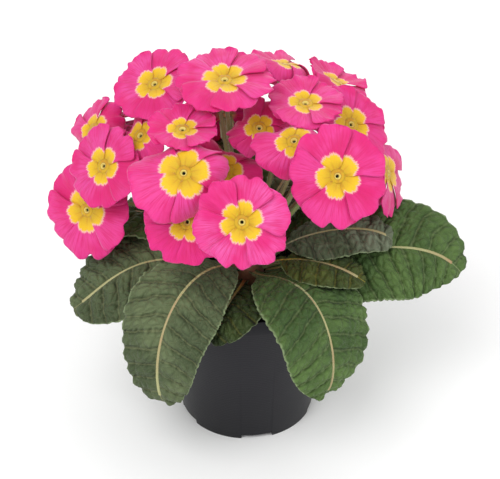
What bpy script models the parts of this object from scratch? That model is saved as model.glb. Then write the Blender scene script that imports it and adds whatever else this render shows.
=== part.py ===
"""A potted primrose in full flower, at its real size.

A nine-centimetre plastic nursery pot holds soil, and a short thick crown stands in a hole in the soil. Every
leaf and every flower stalk grows from that crown. Each bloom is one fused corolla: a slim tube that stands in
a five-toothed calyx, and a flat limb of five heart-shaped petals, each laid over the next like a pinwheel.

The frame: +Z is up, the origin is the middle of the pot's base, and the front of the plant looks along -Y.
A bearing is an angle round the pot: 0 is the front, 90 the right and -90 the left. A lift is an angle
above level.
"""

import math
from collections import namedtuple

import bmesh
import bpy
import numpy as np
from mathutils import Vector

MM = 0.001

# Pot
POT_HEIGHT = 80 * MM
POT_BASE_RADIUS = 32 * MM
POT_TOP_RADIUS = 43.5 * MM
POT_WALL = 1.2 * MM
LIP_RADIUS = 45 * MM
LIP_HEIGHT = 7 * MM
POT_SEGMENTS = 36
FOOT_NOTCHES = 5
NOTCH_WIDTH = 15 * MM
NOTCH_HEIGHT = 2.2 * MM
DRAIN_HOLES = 5
DRAIN_RADIUS = 4 * MM
DRAIN_RING = 19 * MM

# Soil and crown
FIT = 0.35 * MM
SOIL_TOP = 72 * MM
SOIL_LUMP = 1.4 * MM
CROWN_RADIUS = 8 * MM
CROWN_BOTTOM = 58 * MM
CROWN_TOP = 89 * MM

# Bloom: the limb, the tube and the calyx, measured along the bloom's own axis from the mouth of the tube
MOUTH_RADIUS = 2.6 * MM
THROAT_RADIUS = 1.7 * MM
THROAT_DEPTH = 1.6 * MM
TUBE_RADIUS = 2.2 * MM
TUBE_LENGTH = 12 * MM
THROAT_SLOPE = math.radians(14)
PETAL_THICKNESS = 0.6 * MM
PETAL_LAP = 1.25 * MM
PETAL_RUFFLE = 0.55 * MM
NOTCH_REACH = 0.88
SHOULDER_REACH = 0.80
CALYX_TOP = 3.2 * MM
CALYX_TOOTH = 2.4 * MM
CALYX_RADIUS = 3.3 * MM
CALYX_LENGTH = 12.5 * MM
CALYX_WALL = 0.7 * MM
STALK_RADIUS = 1.2 * MM
STALK_FOOT = 79 * MM
STALK_POINTS = 6

# How the blooms make room for each other
RAYS = 36
RINGS = 7
PETAL_CLEAR = 3.6 * MM
STALK_CLEAR = 4.8 * MM
BEND_STEP = math.radians(4)
BEND_LIMIT = math.radians(115)
BEND_SPREAD = (1.0, 0.9, 0.65, 0.4, 0.2)

# Leaves
LEAF_THICKNESS = 0.8 * MM
PETIOLE_WIDTH = 4 * MM
RIB_DEPTH = 1.1 * MM
PUCKER = 0.8 * MM
EDGE_DROP = 4 * MM
SCALLOP = 0.9 * MM
LEAF_ROWS = (0.0, 0.14, 0.28, 0.4, 0.5, 0.6, 0.7, 0.8, 0.9, 1.0)
LEAF_COLUMNS = (-1.0, -0.55, -0.1, 0.0, 0.1, 0.55, 1.0)

COLOURS = {
    "pot": ((0.028, 0.027, 0.032), 0.45),
    "soil": ((0.035, 0.022, 0.014), 0.95),
    "stalk": ((0.21, 0.24, 0.09), 0.6),
    "leaf": ((0.055, 0.125, 0.035), 0.6),
    "petal": ((0.84, 0.035, 0.24), 0.5),
}

# place: the eye of the bloom in millimetres. bearing and lift: the way it faces. turn: of its first petal
# from the top. curl: how far every petal bends back. back: how much further those at the top do.
# The list runs from the blooms that lie on top of their neighbours to those underneath.
Bloom = namedtuple("Bloom", "name place bearing lift turn radius curl petals back")
BLOOMS = (
    Bloom("top_centre", (-9.5, -3, 181), -15, 78, -34, 22, 15, 6, 0),
    Bloom("front_centre", (-2, -60, 145), -4, 32, 9, 21, 8, 6, 0),
    Bloom("front_right", (39, -36, 152.5), 12, 34, -20, 22.5, 12, 5, 0),
    Bloom("upper_left", (-27.5, -24, 168.5), -10, 80, -30, 15.5, -5, 5, 0),
    Bloom("side_left", (-63.5, -11, 142), -42, 34, 15, 19.5, 20, 5, 0),
    Bloom("front_left", (-26.5, -46, 160.5), -12, 46, 0, 25, 5, 5, 60),
    Bloom("side_left_low", (-72.5, -8, 116.5), -32, 20, 21, 23, 20, 5, 0),
    Bloom("top_left", (-41, 13, 170), -40, 62, -14, 20, 12, 5, 0),
    Bloom("top_right", (26, -1, 168), 20, 80, 0, 17.5, 5, 5, 0),
    Bloom("upper_right", (47, 7, 152.5), 40, 46, -5, 19.5, 20, 5, 0),
    Bloom("side_right", (64, 1, 130.5), 72, 18, 0, 20, 20, 5, 0),
    Bloom("mid_right", (20.5, -24.5, 163), -22, 64, 20, 18.5, 10, 5, 55),
    Bloom("far_left", (-69, 8, 149.5), -65, 45, 10, 17, 25, 5, 0),
    Bloom("front_low", (-25.5, -48, 137), -14, 28, 0, 19.5, 8, 5, 20),
    Bloom("crest_right", (41, 33, 160), 120, 60, 20, 16.5, -20, 5, 0),
    Bloom("crest_back", (18, 29, 171), 170, 68, 0, 16.5, -20, 5, 0),
    Bloom("inner_right", (5.6, -8.6, 160), 0, 60, 40, 15.2, 0, 5, 0),
    Bloom("inner_left", (-47, -5, 154), -48, 50, 5, 16, 5, 5, 0),
    Bloom("inner_low", (-9, -16, 143), 24, 48, 30, 17, 0, 5, 0),
    Bloom("back_top", (-14, 42, 163), -170, 55, 25, 20.5, 15, 5, 0),
    Bloom("back_left", (-46, 44, 144), -138, 42, 0, 20.5, 15, 5, 0),
    Bloom("back_right", (27, 56, 142), 152, 40, 10, 20.5, 15, 5, 0),
    Bloom("back_low", (-10, 64, 124), -176, 20, 35, 20, 18, 5, 0),
    Bloom("back_far_left", (-66, 36, 123), -112, 20, 20, 21, 20, 5, 0),
    Bloom("back_far_right", (57, 31, 126), 122, 22, 5, 20, 20, 5, 0),
)

# way: points on the midrib in millimetres, from its foot at the crown to the tip. roll: degrees by which the
# blade tips to one side. waist and peak: the shares of the length where the foot begins to broaden and where
# the blade begins to narrow again.
Leaf = namedtuple("Leaf", "name width roll waist peak way")
LEAVES = (
    Leaf(
        "front_left", 44, -8, 0.05, 0.46,
        ((-4.7, -7.2, 83), (-15, -24, 96), (-30, -45, 95), (-38, -56, 80), (-38, -56, 43.5)),
    ),
    Leaf(
        "front_right", 53, -8, 0.08, 0.55,
        ((2.9, -8.1, 82.5), (13, -23, 90), (27, -40, 93), (37, -52, 78), (34, -54, 46)),
    ),
    Leaf(
        "front_low", 34, 4, 0.1, 0.6,
        ((-1, -8.6, 78), (-5, -27, 84), (-10, -43, 86), (-17, -53, 76)),
    ),
    Leaf(
        "left", 50, -9, 0.1, 0.64,
        ((-8, -3, 83), (-26, -8.5, 89), (-50, -15.5, 91.5), (-67, -21, 83), (-80, -24, 72.5)),
    ),
    Leaf(
        "right", 50, 34, 0.15, 0.6,
        ((8.6, -0.5, 78), (34, -8, 90), (62, -10, 97), (85, -8, 93), (100, -7, 80.5)),
    ),
    Leaf(
        "right_upper", 30, 8, 0.2, 0.6,
        ((8.5, -1.2, 85), (24, -8, 101), (42, -11, 108), (57, -12, 108), (67, -10, 101)),
    ),
    Leaf(
        "right_low", 25, 2, 0.25, 0.55,
        ((6.9, -5.4, 84.5), (20, -16, 95), (40, -27.5, 99), (53.5, -31, 92.5)),
    ),
    Leaf(
        "right_back", 50, 0, 0.15, 0.6,
        ((7, 5, 78), (27, 18, 89), (55, 36, 91), (74, 48, 78), (80, 52, 62)),
    ),
    Leaf(
        "back_right", 44, 0, 0.15, 0.6,
        ((3, 8.1, 83), (13, 31, 98), (25, 55, 101), (31, 69, 90), (33, 74, 72)),
    ),
    Leaf(
        "back", 50, 0, 0.15, 0.6,
        ((-2, 8.3, 83), (-7, 34, 104), (-14, 61, 109), (-20, 79, 93), (-21, 83, 70)),
    ),
    Leaf(
        "back_left", 46, 0, 0.15, 0.6,
        ((-5.6, 6.6, 78), (-22, 25, 89), (-41, 48, 88), (-50, 59, 75), (-52, 62, 58)),
    ),
    Leaf(
        "left_back", 44, 6, 0.15, 0.6,
        ((-8.3, 2.4, 81), (-32, 11, 96), (-60, 22, 96), (-75, 29, 83), (-81, 32, 69)),
    ),
)


def heading(bearing, lift):
    """The unit vector of a bearing and a lift, both in degrees."""
    b, l = math.radians(bearing), math.radians(lift)
    return np.array([math.sin(b) * math.cos(l), -math.cos(b) * math.cos(l), math.sin(l)])


def clear_scene():
    for obj in list(bpy.data.objects):
        bpy.data.objects.remove(obj)


def collection(name):
    made = bpy.data.collections.new(name)
    bpy.context.scene.collection.children.link(made)
    return made


def material(name):
    colour, roughness = COLOURS[name]
    made = bpy.data.materials.new(name)
    made.use_nodes = True
    shader = made.node_tree.nodes["Principled BSDF"]
    shader.inputs["Base Color"].default_value = (*colour, 1)
    shader.inputs["Roughness"].default_value = roughness
    made.diffuse_color = (*colour, 1)
    return made


def mesh_object(name, verts, faces, group, finish=None):
    mesh = bpy.data.meshes.new(name)
    mesh.from_pydata([tuple(v) for v in verts], [], faces)
    obj = bpy.data.objects.new(name, mesh)
    group.objects.link(obj)
    if finish:
        mesh.materials.append(finish)
    return obj


def thicken(obj, thickness, offset=0.0):
    """Gives an open sheet its thickness, alike on both faces."""
    solid = obj.modifiers.new("thickness", "SOLIDIFY")
    solid.thickness = thickness
    solid.offset = offset
    solid.use_even_offset = False


def settle_normals(obj):
    mesh = bmesh.new()
    mesh.from_mesh(obj.data)
    bmesh.ops.recalc_face_normals(mesh, faces=mesh.faces)
    mesh.to_mesh(obj.data)
    mesh.free()


def bake(obj):
    """Replaces an object's mesh by the one its modifiers make."""
    graph = bpy.context.evaluated_depsgraph_get()
    made = bpy.data.meshes.new_from_object(obj.evaluated_get(graph))
    obj.modifiers.clear()
    obj.data = made


def smooth(obj, sharp=math.radians(40)):
    """Shades an object's gentle bends smooth and leaves its sharp edges."""
    obj.data.shade_smooth()
    obj.data.set_sharp_from_angle(angle=sharp)


def turned(name, profile, group, finish, segments=POT_SEGMENTS):
    """A closed profile of (radius, height) points turned round the Z axis."""
    points = [Vector((r, 0, z)) for r, z in profile]
    edges = [(i, i + 1) for i in range(len(points) - 1)]
    mesh = bpy.data.meshes.new(name)
    mesh.from_pydata(points, edges, [])
    mesh.materials.append(finish)
    obj = bpy.data.objects.new(name, mesh)
    group.objects.link(obj)
    screw = obj.modifiers.new("turn", "SCREW")
    screw.steps = screw.render_steps = segments
    screw.use_merge_vertices = True
    screw.merge_threshold = 0.00005
    bake(obj)
    settle_normals(obj)
    smooth(obj)
    return obj


# Pot


def pot_radius(height):
    """Outer radius of the pot's wall at a height."""
    return POT_BASE_RADIUS + (POT_TOP_RADIUS - POT_BASE_RADIUS) * height / POT_HEIGHT


def make_pot(group, cutters, finish):
    under_lip = POT_HEIGHT - LIP_HEIGHT
    inner_top = pot_radius(POT_HEIGHT) - POT_WALL
    profile = (
        (0, 0),
        (POT_BASE_RADIUS - 1 * MM, 0),
        (POT_BASE_RADIUS, 1 * MM),
        (pot_radius(under_lip), under_lip),
        (LIP_RADIUS - 0.3 * MM, under_lip + 0.4 * MM),
        (LIP_RADIUS, POT_HEIGHT - 0.8 * MM),
        (LIP_RADIUS - 0.8 * MM, POT_HEIGHT),
        (inner_top, POT_HEIGHT),
        (pot_radius(NOTCH_HEIGHT) - POT_WALL, NOTCH_HEIGHT + POT_WALL),
        (0, NOTCH_HEIGHT + POT_WALL),
    )
    pot = turned("pot", profile[::-1], group, finish)
    for i in range(FOOT_NOTCHES):
        angle = 2 * math.pi * (i + 0.62) / FOOT_NOTCHES
        bpy.ops.mesh.primitive_cube_add(size=1)
        notch = bpy.context.object
        notch.scale = (NOTCH_WIDTH, 12 * MM, 2 * NOTCH_HEIGHT)
        notch.rotation_euler.z = angle
        notch.location = (math.sin(-angle) * POT_BASE_RADIUS, math.cos(angle) * POT_BASE_RADIUS, 0)
        cut(pot, notch, cutters)
    for i in range(DRAIN_HOLES):
        angle = 2 * math.pi * (i + 0.12) / DRAIN_HOLES
        bpy.ops.mesh.primitive_cylinder_add(vertices=12, radius=DRAIN_RADIUS, depth=30 * MM)
        hole = bpy.context.object
        hole.location = (math.sin(-angle) * DRAIN_RING, math.cos(angle) * DRAIN_RING, 0)
        cut(pot, hole, cutters)
    return pot


def cut(obj, cutter, cutters):
    """Cuts one object out of another and hides the cutter."""
    for group in list(cutter.users_collection):
        group.objects.unlink(cutter)
    cutters.objects.link(cutter)
    cutter.hide_render = True
    cutter.display_type = "WIRE"
    taken = obj.modifiers.new("cut", "BOOLEAN")
    taken.operation = "DIFFERENCE"
    taken.object = cutter


# Soil


def make_soil(group, cutters, finish):
    """The soil: fills the pot, with a lumpy top and a plain hole for the crown."""
    floor = NOTCH_HEIGHT + POT_WALL + FIT
    rings = (0.0, 0.16, 0.36, 0.56, 0.74, 0.88, 1.0)
    segments = 24
    top_radius = pot_radius(SOIL_TOP) - POT_WALL - 2 * FIT
    floor_radius = pot_radius(floor) - POT_WALL - 2 * FIT
    verts = [(0, 0, SOIL_TOP)]
    for ring in rings[1:]:
        for i in range(segments):
            a = 2 * math.pi * i / segments
            lump = math.sin(5 * a + 9 * ring) + math.sin(11 * a - 23 * ring) * 0.8
            z = SOIL_TOP + SOIL_LUMP * lump * (1 - ring**6)
            verts.append((ring * top_radius * math.cos(a), ring * top_radius * math.sin(a), z))
    for i in range(segments):
        a = 2 * math.pi * i / segments
        verts.append((floor_radius * math.cos(a), floor_radius * math.sin(a), floor))
    faces = [(0, 1 + i, 1 + (i + 1) % segments) for i in range(segments)]
    for ring in range(len(rings) - 1):
        a, b = 1 + ring * segments, 1 + (ring + 1) * segments
        for i in range(segments):
            j = (i + 1) % segments
            faces.append((a + i, b + i, b + j))
            faces.append((a + i, b + j, a + j))
    last = 1 + (len(rings) - 1) * segments
    faces.append(tuple(last + i for i in reversed(range(segments))))
    soil = mesh_object("soil", verts, faces, group, finish)
    settle_normals(soil)
    bpy.ops.mesh.primitive_cylinder_add(
        vertices=16, radius=CROWN_RADIUS + FIT, depth=60 * MM, location=(0, 0, CROWN_BOTTOM - FIT + 30 * MM)
    )
    cut(soil, bpy.context.object, cutters)
    return soil


# Blooms


def bloom_axes(bloom):
    """The bloom's place and its three axes: to its right, to its top, and the way it faces."""
    face = heading(bloom.bearing, bloom.lift)
    right = np.cross([0, 0, 1], face)
    right /= np.linalg.norm(right)
    return np.array(bloom.place) * MM, right, np.cross(face, right), face


def limb(bloom, angle, reach, height, bend):
    """Places on the limb. angle runs round the bloom, reach along the petal from the axis, height off the
    sheet. bend holds how far the sheet curls back in each of RAYS directions."""
    centre, right, top, face = bloom_axes(bloom)
    length = bloom.radius * MM - MOUTH_RADIUS
    rays = np.arange(RAYS) * 2 * math.pi / RAYS
    curl = THROAT_SLOPE + np.interp(angle, rays, bend, period=2 * math.pi)
    curl = np.where(np.abs(curl) < 1e-3, 1e-3, curl)
    slope = THROAT_SLOPE - curl * (reach - MOUTH_RADIUS) / length
    out = MOUTH_RADIUS + length / curl * (math.sin(THROAT_SLOPE) - np.sin(slope)) - height * np.sin(slope)
    up = length / curl * (np.cos(slope) - math.cos(THROAT_SLOPE)) + height * np.cos(slope)
    return (
        centre
        + (out * np.cos(angle))[..., None] * top
        + (out * np.sin(angle))[..., None] * right
        + up[..., None] * face
    )


def limb_samples(bloom, bend):
    """Points spread over the whole limb, by ray and ring."""
    angle, ring = np.meshgrid(
        np.arange(RAYS) * 2 * math.pi / RAYS, np.linspace(0.25, 1, RINGS), indexing="ij"
    )
    return limb(bloom, angle, ring * bloom.radius * MM, np.zeros_like(angle), bend)


def stalk_path(bloom, count):
    """The stalk's centreline, from inside the crown to the foot of the calyx."""
    centre, _, _, face = bloom_axes(bloom)
    end = centre - face * (CALYX_LENGTH + CALYX_TOP - 0.3 * MM)
    level = np.array([end[0], end[1], 0])
    spread = min(1.0, np.linalg.norm(level) / (55 * MM))
    level /= np.linalg.norm(level)
    start = level * 4.6 * MM * spread + np.array([0, 0, STALK_FOOT])
    rise = start + np.array([0, 0, 26 * MM]) + level * 14 * MM * spread
    arrive = end - face * 24 * MM
    t = np.linspace(0, 1, count)[:, None]
    return (1 - t) ** 3 * start + 3 * (1 - t) ** 2 * t * rise + 3 * (1 - t) * t**2 * arrive + t**3 * end


def stalk_samples(bloom):
    """Points down the calyx and the stalk, to keep petals off them."""
    centre, _, _, face = bloom_axes(bloom)
    calyx = centre - np.linspace(3, 15, 5)[:, None] * MM * face
    return np.concatenate([calyx, stalk_path(bloom, 24)[6:]])


def settle_blooms():
    """Curls each limb back, direction by direction, until it clears the blooms above it and every stalk."""
    bends, placed = {}, []
    for bloom in BLOOMS:
        stalks = np.concatenate([stalk_samples(b) for b in BLOOMS if b is not bloom])
        upward = np.maximum(0, np.cos(np.arange(RAYS) * 2 * math.pi / RAYS))
        bend = np.radians(bloom.curl + bloom.back * upward)
        while True:
            points = limb_samples(bloom, bend)
            flat = points.reshape(-1, 3)
            gap = np.linalg.norm(flat[:, None] - stalks[None], axis=2).min(axis=1) - STALK_CLEAR
            for other in placed:
                apart = np.linalg.norm(flat[:, None] - other[None], axis=2).min(axis=1)
                gap = np.minimum(gap, apart - PETAL_CLEAR)
            hit = gap.reshape(RAYS, RINGS).min(axis=1) < 0
            hit &= bend < BEND_LIMIT
            if not hit.any():
                break
            push = np.zeros(RAYS)
            for step, share in enumerate(BEND_SPREAD):
                push = np.maximum(push, share * np.roll(hit, step))
                push = np.maximum(push, share * np.roll(hit, -step))
            bend = bend + BEND_STEP * push
        bends[bloom.name] = bend
        placed.append(limb_samples(bloom, bend).reshape(-1, 3))
    return bends


def petal_rows(radius, petals):
    """A petal laid flat: rows of (along, across, side, share) from its root to its notched tip."""
    tips = {0.0: NOTCH_REACH, 0.5: 1.0, 1.0: SHOULDER_REACH}
    widths = {0.42: 0.335, 0.74: 0.60, 1.0: 0.50}
    rows = []
    for share, width in widths.items():
        row = []
        for side in (-1.0, -0.5, 0.0, 0.5, 1.0):
            along = MOUTH_RADIUS + share * (radius * tips[abs(side)] - MOUTH_RADIUS)
            row.append((along, side * width * radius * 5 / petals, side, share))
        rows.append(row)
    return rows


def make_corolla(bloom, bend, group, finish):
    """Tube and petals as one sheet, then thickened. Each petal's right edge lies over the next petal."""
    centre, right, top, face = bloom_axes(bloom)
    count = bloom.petals
    verts, faces = [], []

    def ring(radius, depth):
        first = len(verts)
        for i in range(count):
            a = math.radians(bloom.turn) + 2 * math.pi * (i - 0.5) / count
            verts.append(centre + radius * (math.cos(a) * top + math.sin(a) * right) - depth * face)
        return [first + i for i in range(count)]

    levels = [
        ring(TUBE_RADIUS, TUBE_LENGTH),
        ring(THROAT_RADIUS, THROAT_DEPTH),
        ring(MOUTH_RADIUS, 0),
    ]
    faces.append(tuple(reversed(levels[0])))
    for low, high in zip(levels, levels[1:]):
        for i in range(count):
            j = (i + 1) % count
            faces.append((low[i], low[j], high[j]))
            faces.append((low[i], high[j], high[i]))
    for i in range(count):
        middle = math.radians(bloom.turn) + 2 * math.pi * i / count
        rows = []
        for row in petal_rows(bloom.radius * MM, count):
            first = len(verts)
            for along, across, side, share in row:
                lap = PETAL_LAP * side * share**0.5
                wave = PETAL_RUFFLE * math.sin(2.6 * math.pi * side + 1.7 * i) * share**2
                angle = np.array([middle + math.atan2(across, along)])
                reach = np.array([math.hypot(along, across)])
                verts.append(limb(bloom, angle, reach, np.array([lap + wave]), bend)[0])
            rows.append([first + k for k in range(len(row))])
        left, after = levels[-1][i], levels[-1][(i + 1) % count]
        near = rows[0]
        faces += [(left, near[1], near[0]), (left, near[2], near[1]), (left, after, near[2])]
        faces += [(after, near[3], near[2]), (after, near[4], near[3])]
        for low, high in zip(rows, rows[1:]):
            for k in range(len(low) - 1):
                faces.append((low[k], low[k + 1], high[k + 1]))
                faces.append((low[k], high[k + 1], high[k]))
    corolla = mesh_object("bloom_" + bloom.name, verts, faces, group, finish)
    smooth(corolla)
    thicken(corolla, PETAL_THICKNESS)
    return corolla


def make_calyx(bloom, group):
    """The five-sided green cup that holds the corolla's tube, with five teeth."""
    centre, right, top, face = bloom_axes(bloom)
    verts = []

    def ring(radius, depths, turn=0.0):
        first = len(verts)
        count = len(depths)
        for i, depth in enumerate(depths):
            a = math.radians(bloom.turn) + 2 * math.pi * (i + turn) / count
            verts.append(centre + radius * (math.cos(a) * top + math.sin(a) * right) - depth * face)
        return [first + i for i in range(count)]

    foot = ring(1.5 * MM, [CALYX_TOP + CALYX_LENGTH] * 5)
    body = ring(CALYX_RADIUS, [CALYX_TOP + CALYX_LENGTH * 0.8] * 5)
    teeth = ring(CALYX_RADIUS + 0.5 * MM, [CALYX_TOP, CALYX_TOP + CALYX_TOOTH] * 5)
    faces = [tuple(reversed(foot))]
    for i in range(5):
        j = (i + 1) % 5
        faces += [(foot[i], foot[j], body[j]), (foot[i], body[j], body[i])]
        tip, dip, after = teeth[2 * i], teeth[2 * i + 1], teeth[(2 * i + 2) % 10]
        faces += [(body[i], dip, tip), (body[i], body[j], dip), (body[j], after, dip)]
    calyx = mesh_object("calyx_" + bloom.name, verts, faces, group)
    thicken(calyx, CALYX_WALL, offset=-1.0)
    bake(calyx)
    return calyx


def make_stalk(bloom, group):
    """The flower stalk, a thin bevelled curve made a closed mesh."""
    curve = bpy.data.curves.new("stalk_" + bloom.name, "CURVE")
    curve.dimensions = "3D"
    curve.bevel_depth = STALK_RADIUS
    curve.bevel_resolution = 0
    curve.use_fill_caps = True
    spline = curve.splines.new("POLY")
    path = stalk_path(bloom, STALK_POINTS)
    spline.points.add(len(path) - 1)
    for point, place in zip(spline.points, path):
        point.co = (*place, 1)
    drawn = bpy.data.objects.new("stalk_curve", curve)
    group.objects.link(drawn)
    graph = bpy.context.evaluated_depsgraph_get()
    mesh = bpy.data.meshes.new_from_object(drawn.evaluated_get(graph))
    bpy.data.objects.remove(drawn)
    welded = bmesh.new()
    welded.from_mesh(mesh)
    bmesh.ops.remove_doubles(welded, verts=welded.verts, dist=0.00002)
    bmesh.ops.recalc_face_normals(welded, faces=welded.faces)
    welded.to_mesh(mesh)
    welded.free()
    stalk = bpy.data.objects.new("stalk_" + bloom.name, mesh)
    group.objects.link(stalk)
    return stalk


def make_crown(group, finish):
    """The crown with every flower stalk and calyx, which grew as one."""
    pieces = collection("crown pieces")
    for bloom in BLOOMS:
        make_stalk(bloom, pieces)
        make_calyx(bloom, pieces)
    profile = (
        (0, CROWN_TOP),
        (CROWN_RADIUS * 0.6, CROWN_TOP - 1 * MM),
        (CROWN_RADIUS, CROWN_TOP - 3.5 * MM),
        (CROWN_RADIUS, CROWN_BOTTOM + 5 * MM),
        (CROWN_RADIUS * 0.5, CROWN_BOTTOM),
        (0, CROWN_BOTTOM),
    )
    crown = turned("crown_and_flower_stalks", profile, group, finish, segments=14)
    union = crown.modifiers.new("join", "BOOLEAN")
    union.operation = "UNION"
    union.operand_type = "COLLECTION"
    union.collection = pieces
    union.solver = "EXACT"
    bake(crown)
    crown.data.materials.clear()
    crown.data.materials.append(finish)
    smooth(crown)
    for obj in list(pieces.objects):
        bpy.data.objects.remove(obj)
    bpy.data.collections.remove(pieces)
    return crown


# Leaves


def blade_share(t, waist, peak):
    """How wide the leaf is at share t of its length: a narrow winged foot, a broad blade and a round tip."""
    rise = min(1.0, max(0.0, (t - waist) / (0.56 - waist)))
    tip = math.sqrt(max(0.0, 1 - max(0.0, (t - peak) / (1.03 - peak)) ** 2.2))
    return rise * (2 - rise) * tip


def midrib(leaf, count):
    """A smooth curve through the points of the leaf's way, as places and directions at even shares of it."""
    way = np.array(leaf.way) * MM
    along = np.insert(np.cumsum(np.linalg.norm(np.diff(way, axis=0), axis=1)), 0, 0)
    fits = np.polyfit(along / along[-1], way, len(way) - 1)
    t = np.linspace(0, 1, count + 1)
    places = np.stack([np.polyval(fits[:, axis], t) for axis in range(3)], axis=1)
    ways = np.gradient(places, axis=0)
    return places, ways / np.linalg.norm(ways, axis=1, keepdims=True)


def make_leaf(leaf, group, finish):
    """One leaf: stalk, midrib and blade in one thin sheet, puckered between its veins and scalloped."""
    steps = 100
    places, ways = midrib(leaf, steps)
    level = places[-1] - places[0]
    level = np.array([-level[1], level[0], 0]) / math.hypot(level[0], level[1])
    half_width = leaf.width * MM / 2
    verts, faces = [], []
    for row, t in enumerate(LEAF_ROWS):
        k = round(t * steps)
        side = level - (level @ ways[k]) * ways[k]
        side /= np.linalg.norm(side)
        normal = np.cross(ways[k], side)
        roll = math.radians(leaf.roll) * min(1.0, 2 * t)
        side, normal = (
            side * math.cos(roll) + normal * math.sin(roll),
            normal * math.cos(roll) - side * math.sin(roll),
        )
        blade = blade_share(t, leaf.waist, leaf.peak)
        half = max(PETIOLE_WIDTH / 2, half_width * blade)
        for u in LEAF_COLUMNS:
            wave = (-1) ** row * blade
            across = u * half + (SCALLOP * wave * u if abs(u) == 1 else 0)
            lift = -EDGE_DROP * blade * u * u - (RIB_DEPTH if u == 0 else 0)
            lift += PUCKER * wave if abs(u) == LEAF_COLUMNS[-2] else 0
            back = -0.12 * half * u * u
            verts.append(places[k] + side * across + normal * lift + ways[k] * back)
    wide = len(LEAF_COLUMNS)
    for row in range(len(LEAF_ROWS) - 1):
        for column in range(wide - 1):
            a = row * wide + column
            faces.append((a, a + 1, a + wide + 1))
            faces.append((a, a + wide + 1, a + wide))
    made = mesh_object("leaf_" + leaf.name, verts, faces, group, finish)
    smooth(made)
    thicken(made, LEAF_THICKNESS)
    return made


def main():
    clear_scene()
    plant = collection("potted primrose")
    cutters = collection("cutters")
    finishes = {name: material(name) for name in COLOURS}
    make_pot(plant, cutters, finishes["pot"])
    make_soil(plant, cutters, finishes["soil"])
    make_crown(plant, finishes["stalk"])
    for leaf in LEAVES:
        make_leaf(leaf, plant, finishes["leaf"])
    bends = settle_blooms()
    for bloom in BLOOMS:
        make_corolla(bloom, bends[bloom.name], plant, finishes["petal"])


main()
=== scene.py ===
# %% [markdown]
# # A potted primrose
#
# This lesson dresses a measured model of a primrose in a nursery pot. The measured solids are
# simple on purpose. Here each one gets the skin of the real thing: petals with waved, notched edges
# and a yellow star, leaves with a raised net of veins, hairy stalks, crumbly soil and a satin
# plastic pot.
#
# The frame is the measured model's own: metres, +Z up, the middle of the pot's base at the origin,
# and the front of the plant towards -Y.

import math
from collections import namedtuple

import bmesh
import bpy
import numpy as np
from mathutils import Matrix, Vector


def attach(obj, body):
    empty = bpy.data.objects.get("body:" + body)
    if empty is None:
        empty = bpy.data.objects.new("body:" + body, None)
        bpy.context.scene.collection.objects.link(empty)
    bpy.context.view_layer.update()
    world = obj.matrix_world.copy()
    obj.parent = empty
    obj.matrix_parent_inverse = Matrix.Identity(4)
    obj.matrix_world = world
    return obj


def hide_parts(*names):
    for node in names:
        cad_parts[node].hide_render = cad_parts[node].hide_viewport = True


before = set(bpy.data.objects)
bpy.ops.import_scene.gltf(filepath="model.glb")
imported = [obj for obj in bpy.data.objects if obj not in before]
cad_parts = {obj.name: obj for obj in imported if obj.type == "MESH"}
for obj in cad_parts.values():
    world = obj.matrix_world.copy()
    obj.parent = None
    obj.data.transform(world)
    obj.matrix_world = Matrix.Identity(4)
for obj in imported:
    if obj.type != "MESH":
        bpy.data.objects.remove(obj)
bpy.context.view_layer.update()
MM = 0.001

# %% [markdown]
# ## The camera
#
# The photograph looks down on the plant from the front. Its tilt shows in how round the pot's foot
# looks: a circle seen from this height is an ellipse, and the ratio of its axes gives the angle. A
# long lens keeps the blooms in front from growing too large beside those behind.

# %% Camera
CAMERA_PLACE = (0.0, -0.651, 0.546)
CAMERA_PITCH = math.radians(34.74)
CAMERA_YAW = math.radians(0.135)
CAMERA_LENS = 122.4

camera_data = bpy.data.cameras.new("camera")
camera_data.sensor_width = 36
camera_data.lens = CAMERA_LENS
camera = bpy.data.objects.new("camera", camera_data)
camera.location = CAMERA_PLACE
camera.rotation_euler = (math.pi / 2 - CAMERA_PITCH, 0, -CAMERA_YAW)
bpy.context.scene.collection.objects.link(camera)
bpy.context.scene.camera = camera
bpy.context.scene.view_settings.view_transform = "Standard"
print(f"camera {CAMERA_PLACE}, lens {CAMERA_LENS} mm")

# %% [markdown]
# ## Light and floor
#
# A plant catalogue is lit from large, soft lamps on all sides, so that no petal hides another in a
# hard shadow. One large lamp above and in front is the main light. Two weaker ones fill the sides,
# and the pale world lights the rest.

# %% Lamps, world and floor
LAMPS = (
    ("key_lamp", (-0.55, -0.85, 1.25), 1.0, 15.0),
    ("right_lamp", (1.1, -0.45, 0.7), 0.9, 5.0),
    ("back_lamp", (0.1, 1.1, 0.95), 1.0, 6.0),
)
AIM = Vector((0, 0, 0.1))
for name, place, size, power in LAMPS:
    lamp_data = bpy.data.lights.new(name, "AREA")
    lamp_data.size = size
    lamp_data.energy = power
    lamp = bpy.data.objects.new(name, lamp_data)
    lamp.location = place
    lamp.rotation_euler = (AIM - Vector(place)).to_track_quat("-Z", "Y").to_euler()
    bpy.context.scene.collection.objects.link(lamp)

world = bpy.data.worlds.new("studio")
world.use_nodes = True
world.node_tree.nodes["Background"].inputs["Color"].default_value = (1, 1, 1, 1)
world.node_tree.nodes["Background"].inputs["Strength"].default_value = 0.62
bpy.context.scene.world = world
print(f"{len(LAMPS)} lamps and a pale world")

# %% [markdown]
# ## Two helpers for node trees
#
# Materials and Geometry Nodes are both graphs of nodes. `node` adds one and plugs its inputs: a
# socket is linked, and a plain value is typed in. `maths` is short for a Math node. With these two,
# a material reads almost like a formula.

# %% Node helpers


def node(tree, kind, inputs=(), **settings):
    made = tree.nodes.new(kind)
    for key, value in settings.items():
        setattr(made, key, value)
    for key, value in dict(inputs).items():
        if isinstance(value, bpy.types.NodeSocket):
            tree.links.new(value, made.inputs[key])
        else:
            made.inputs[key].default_value = value
    return made


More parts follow.
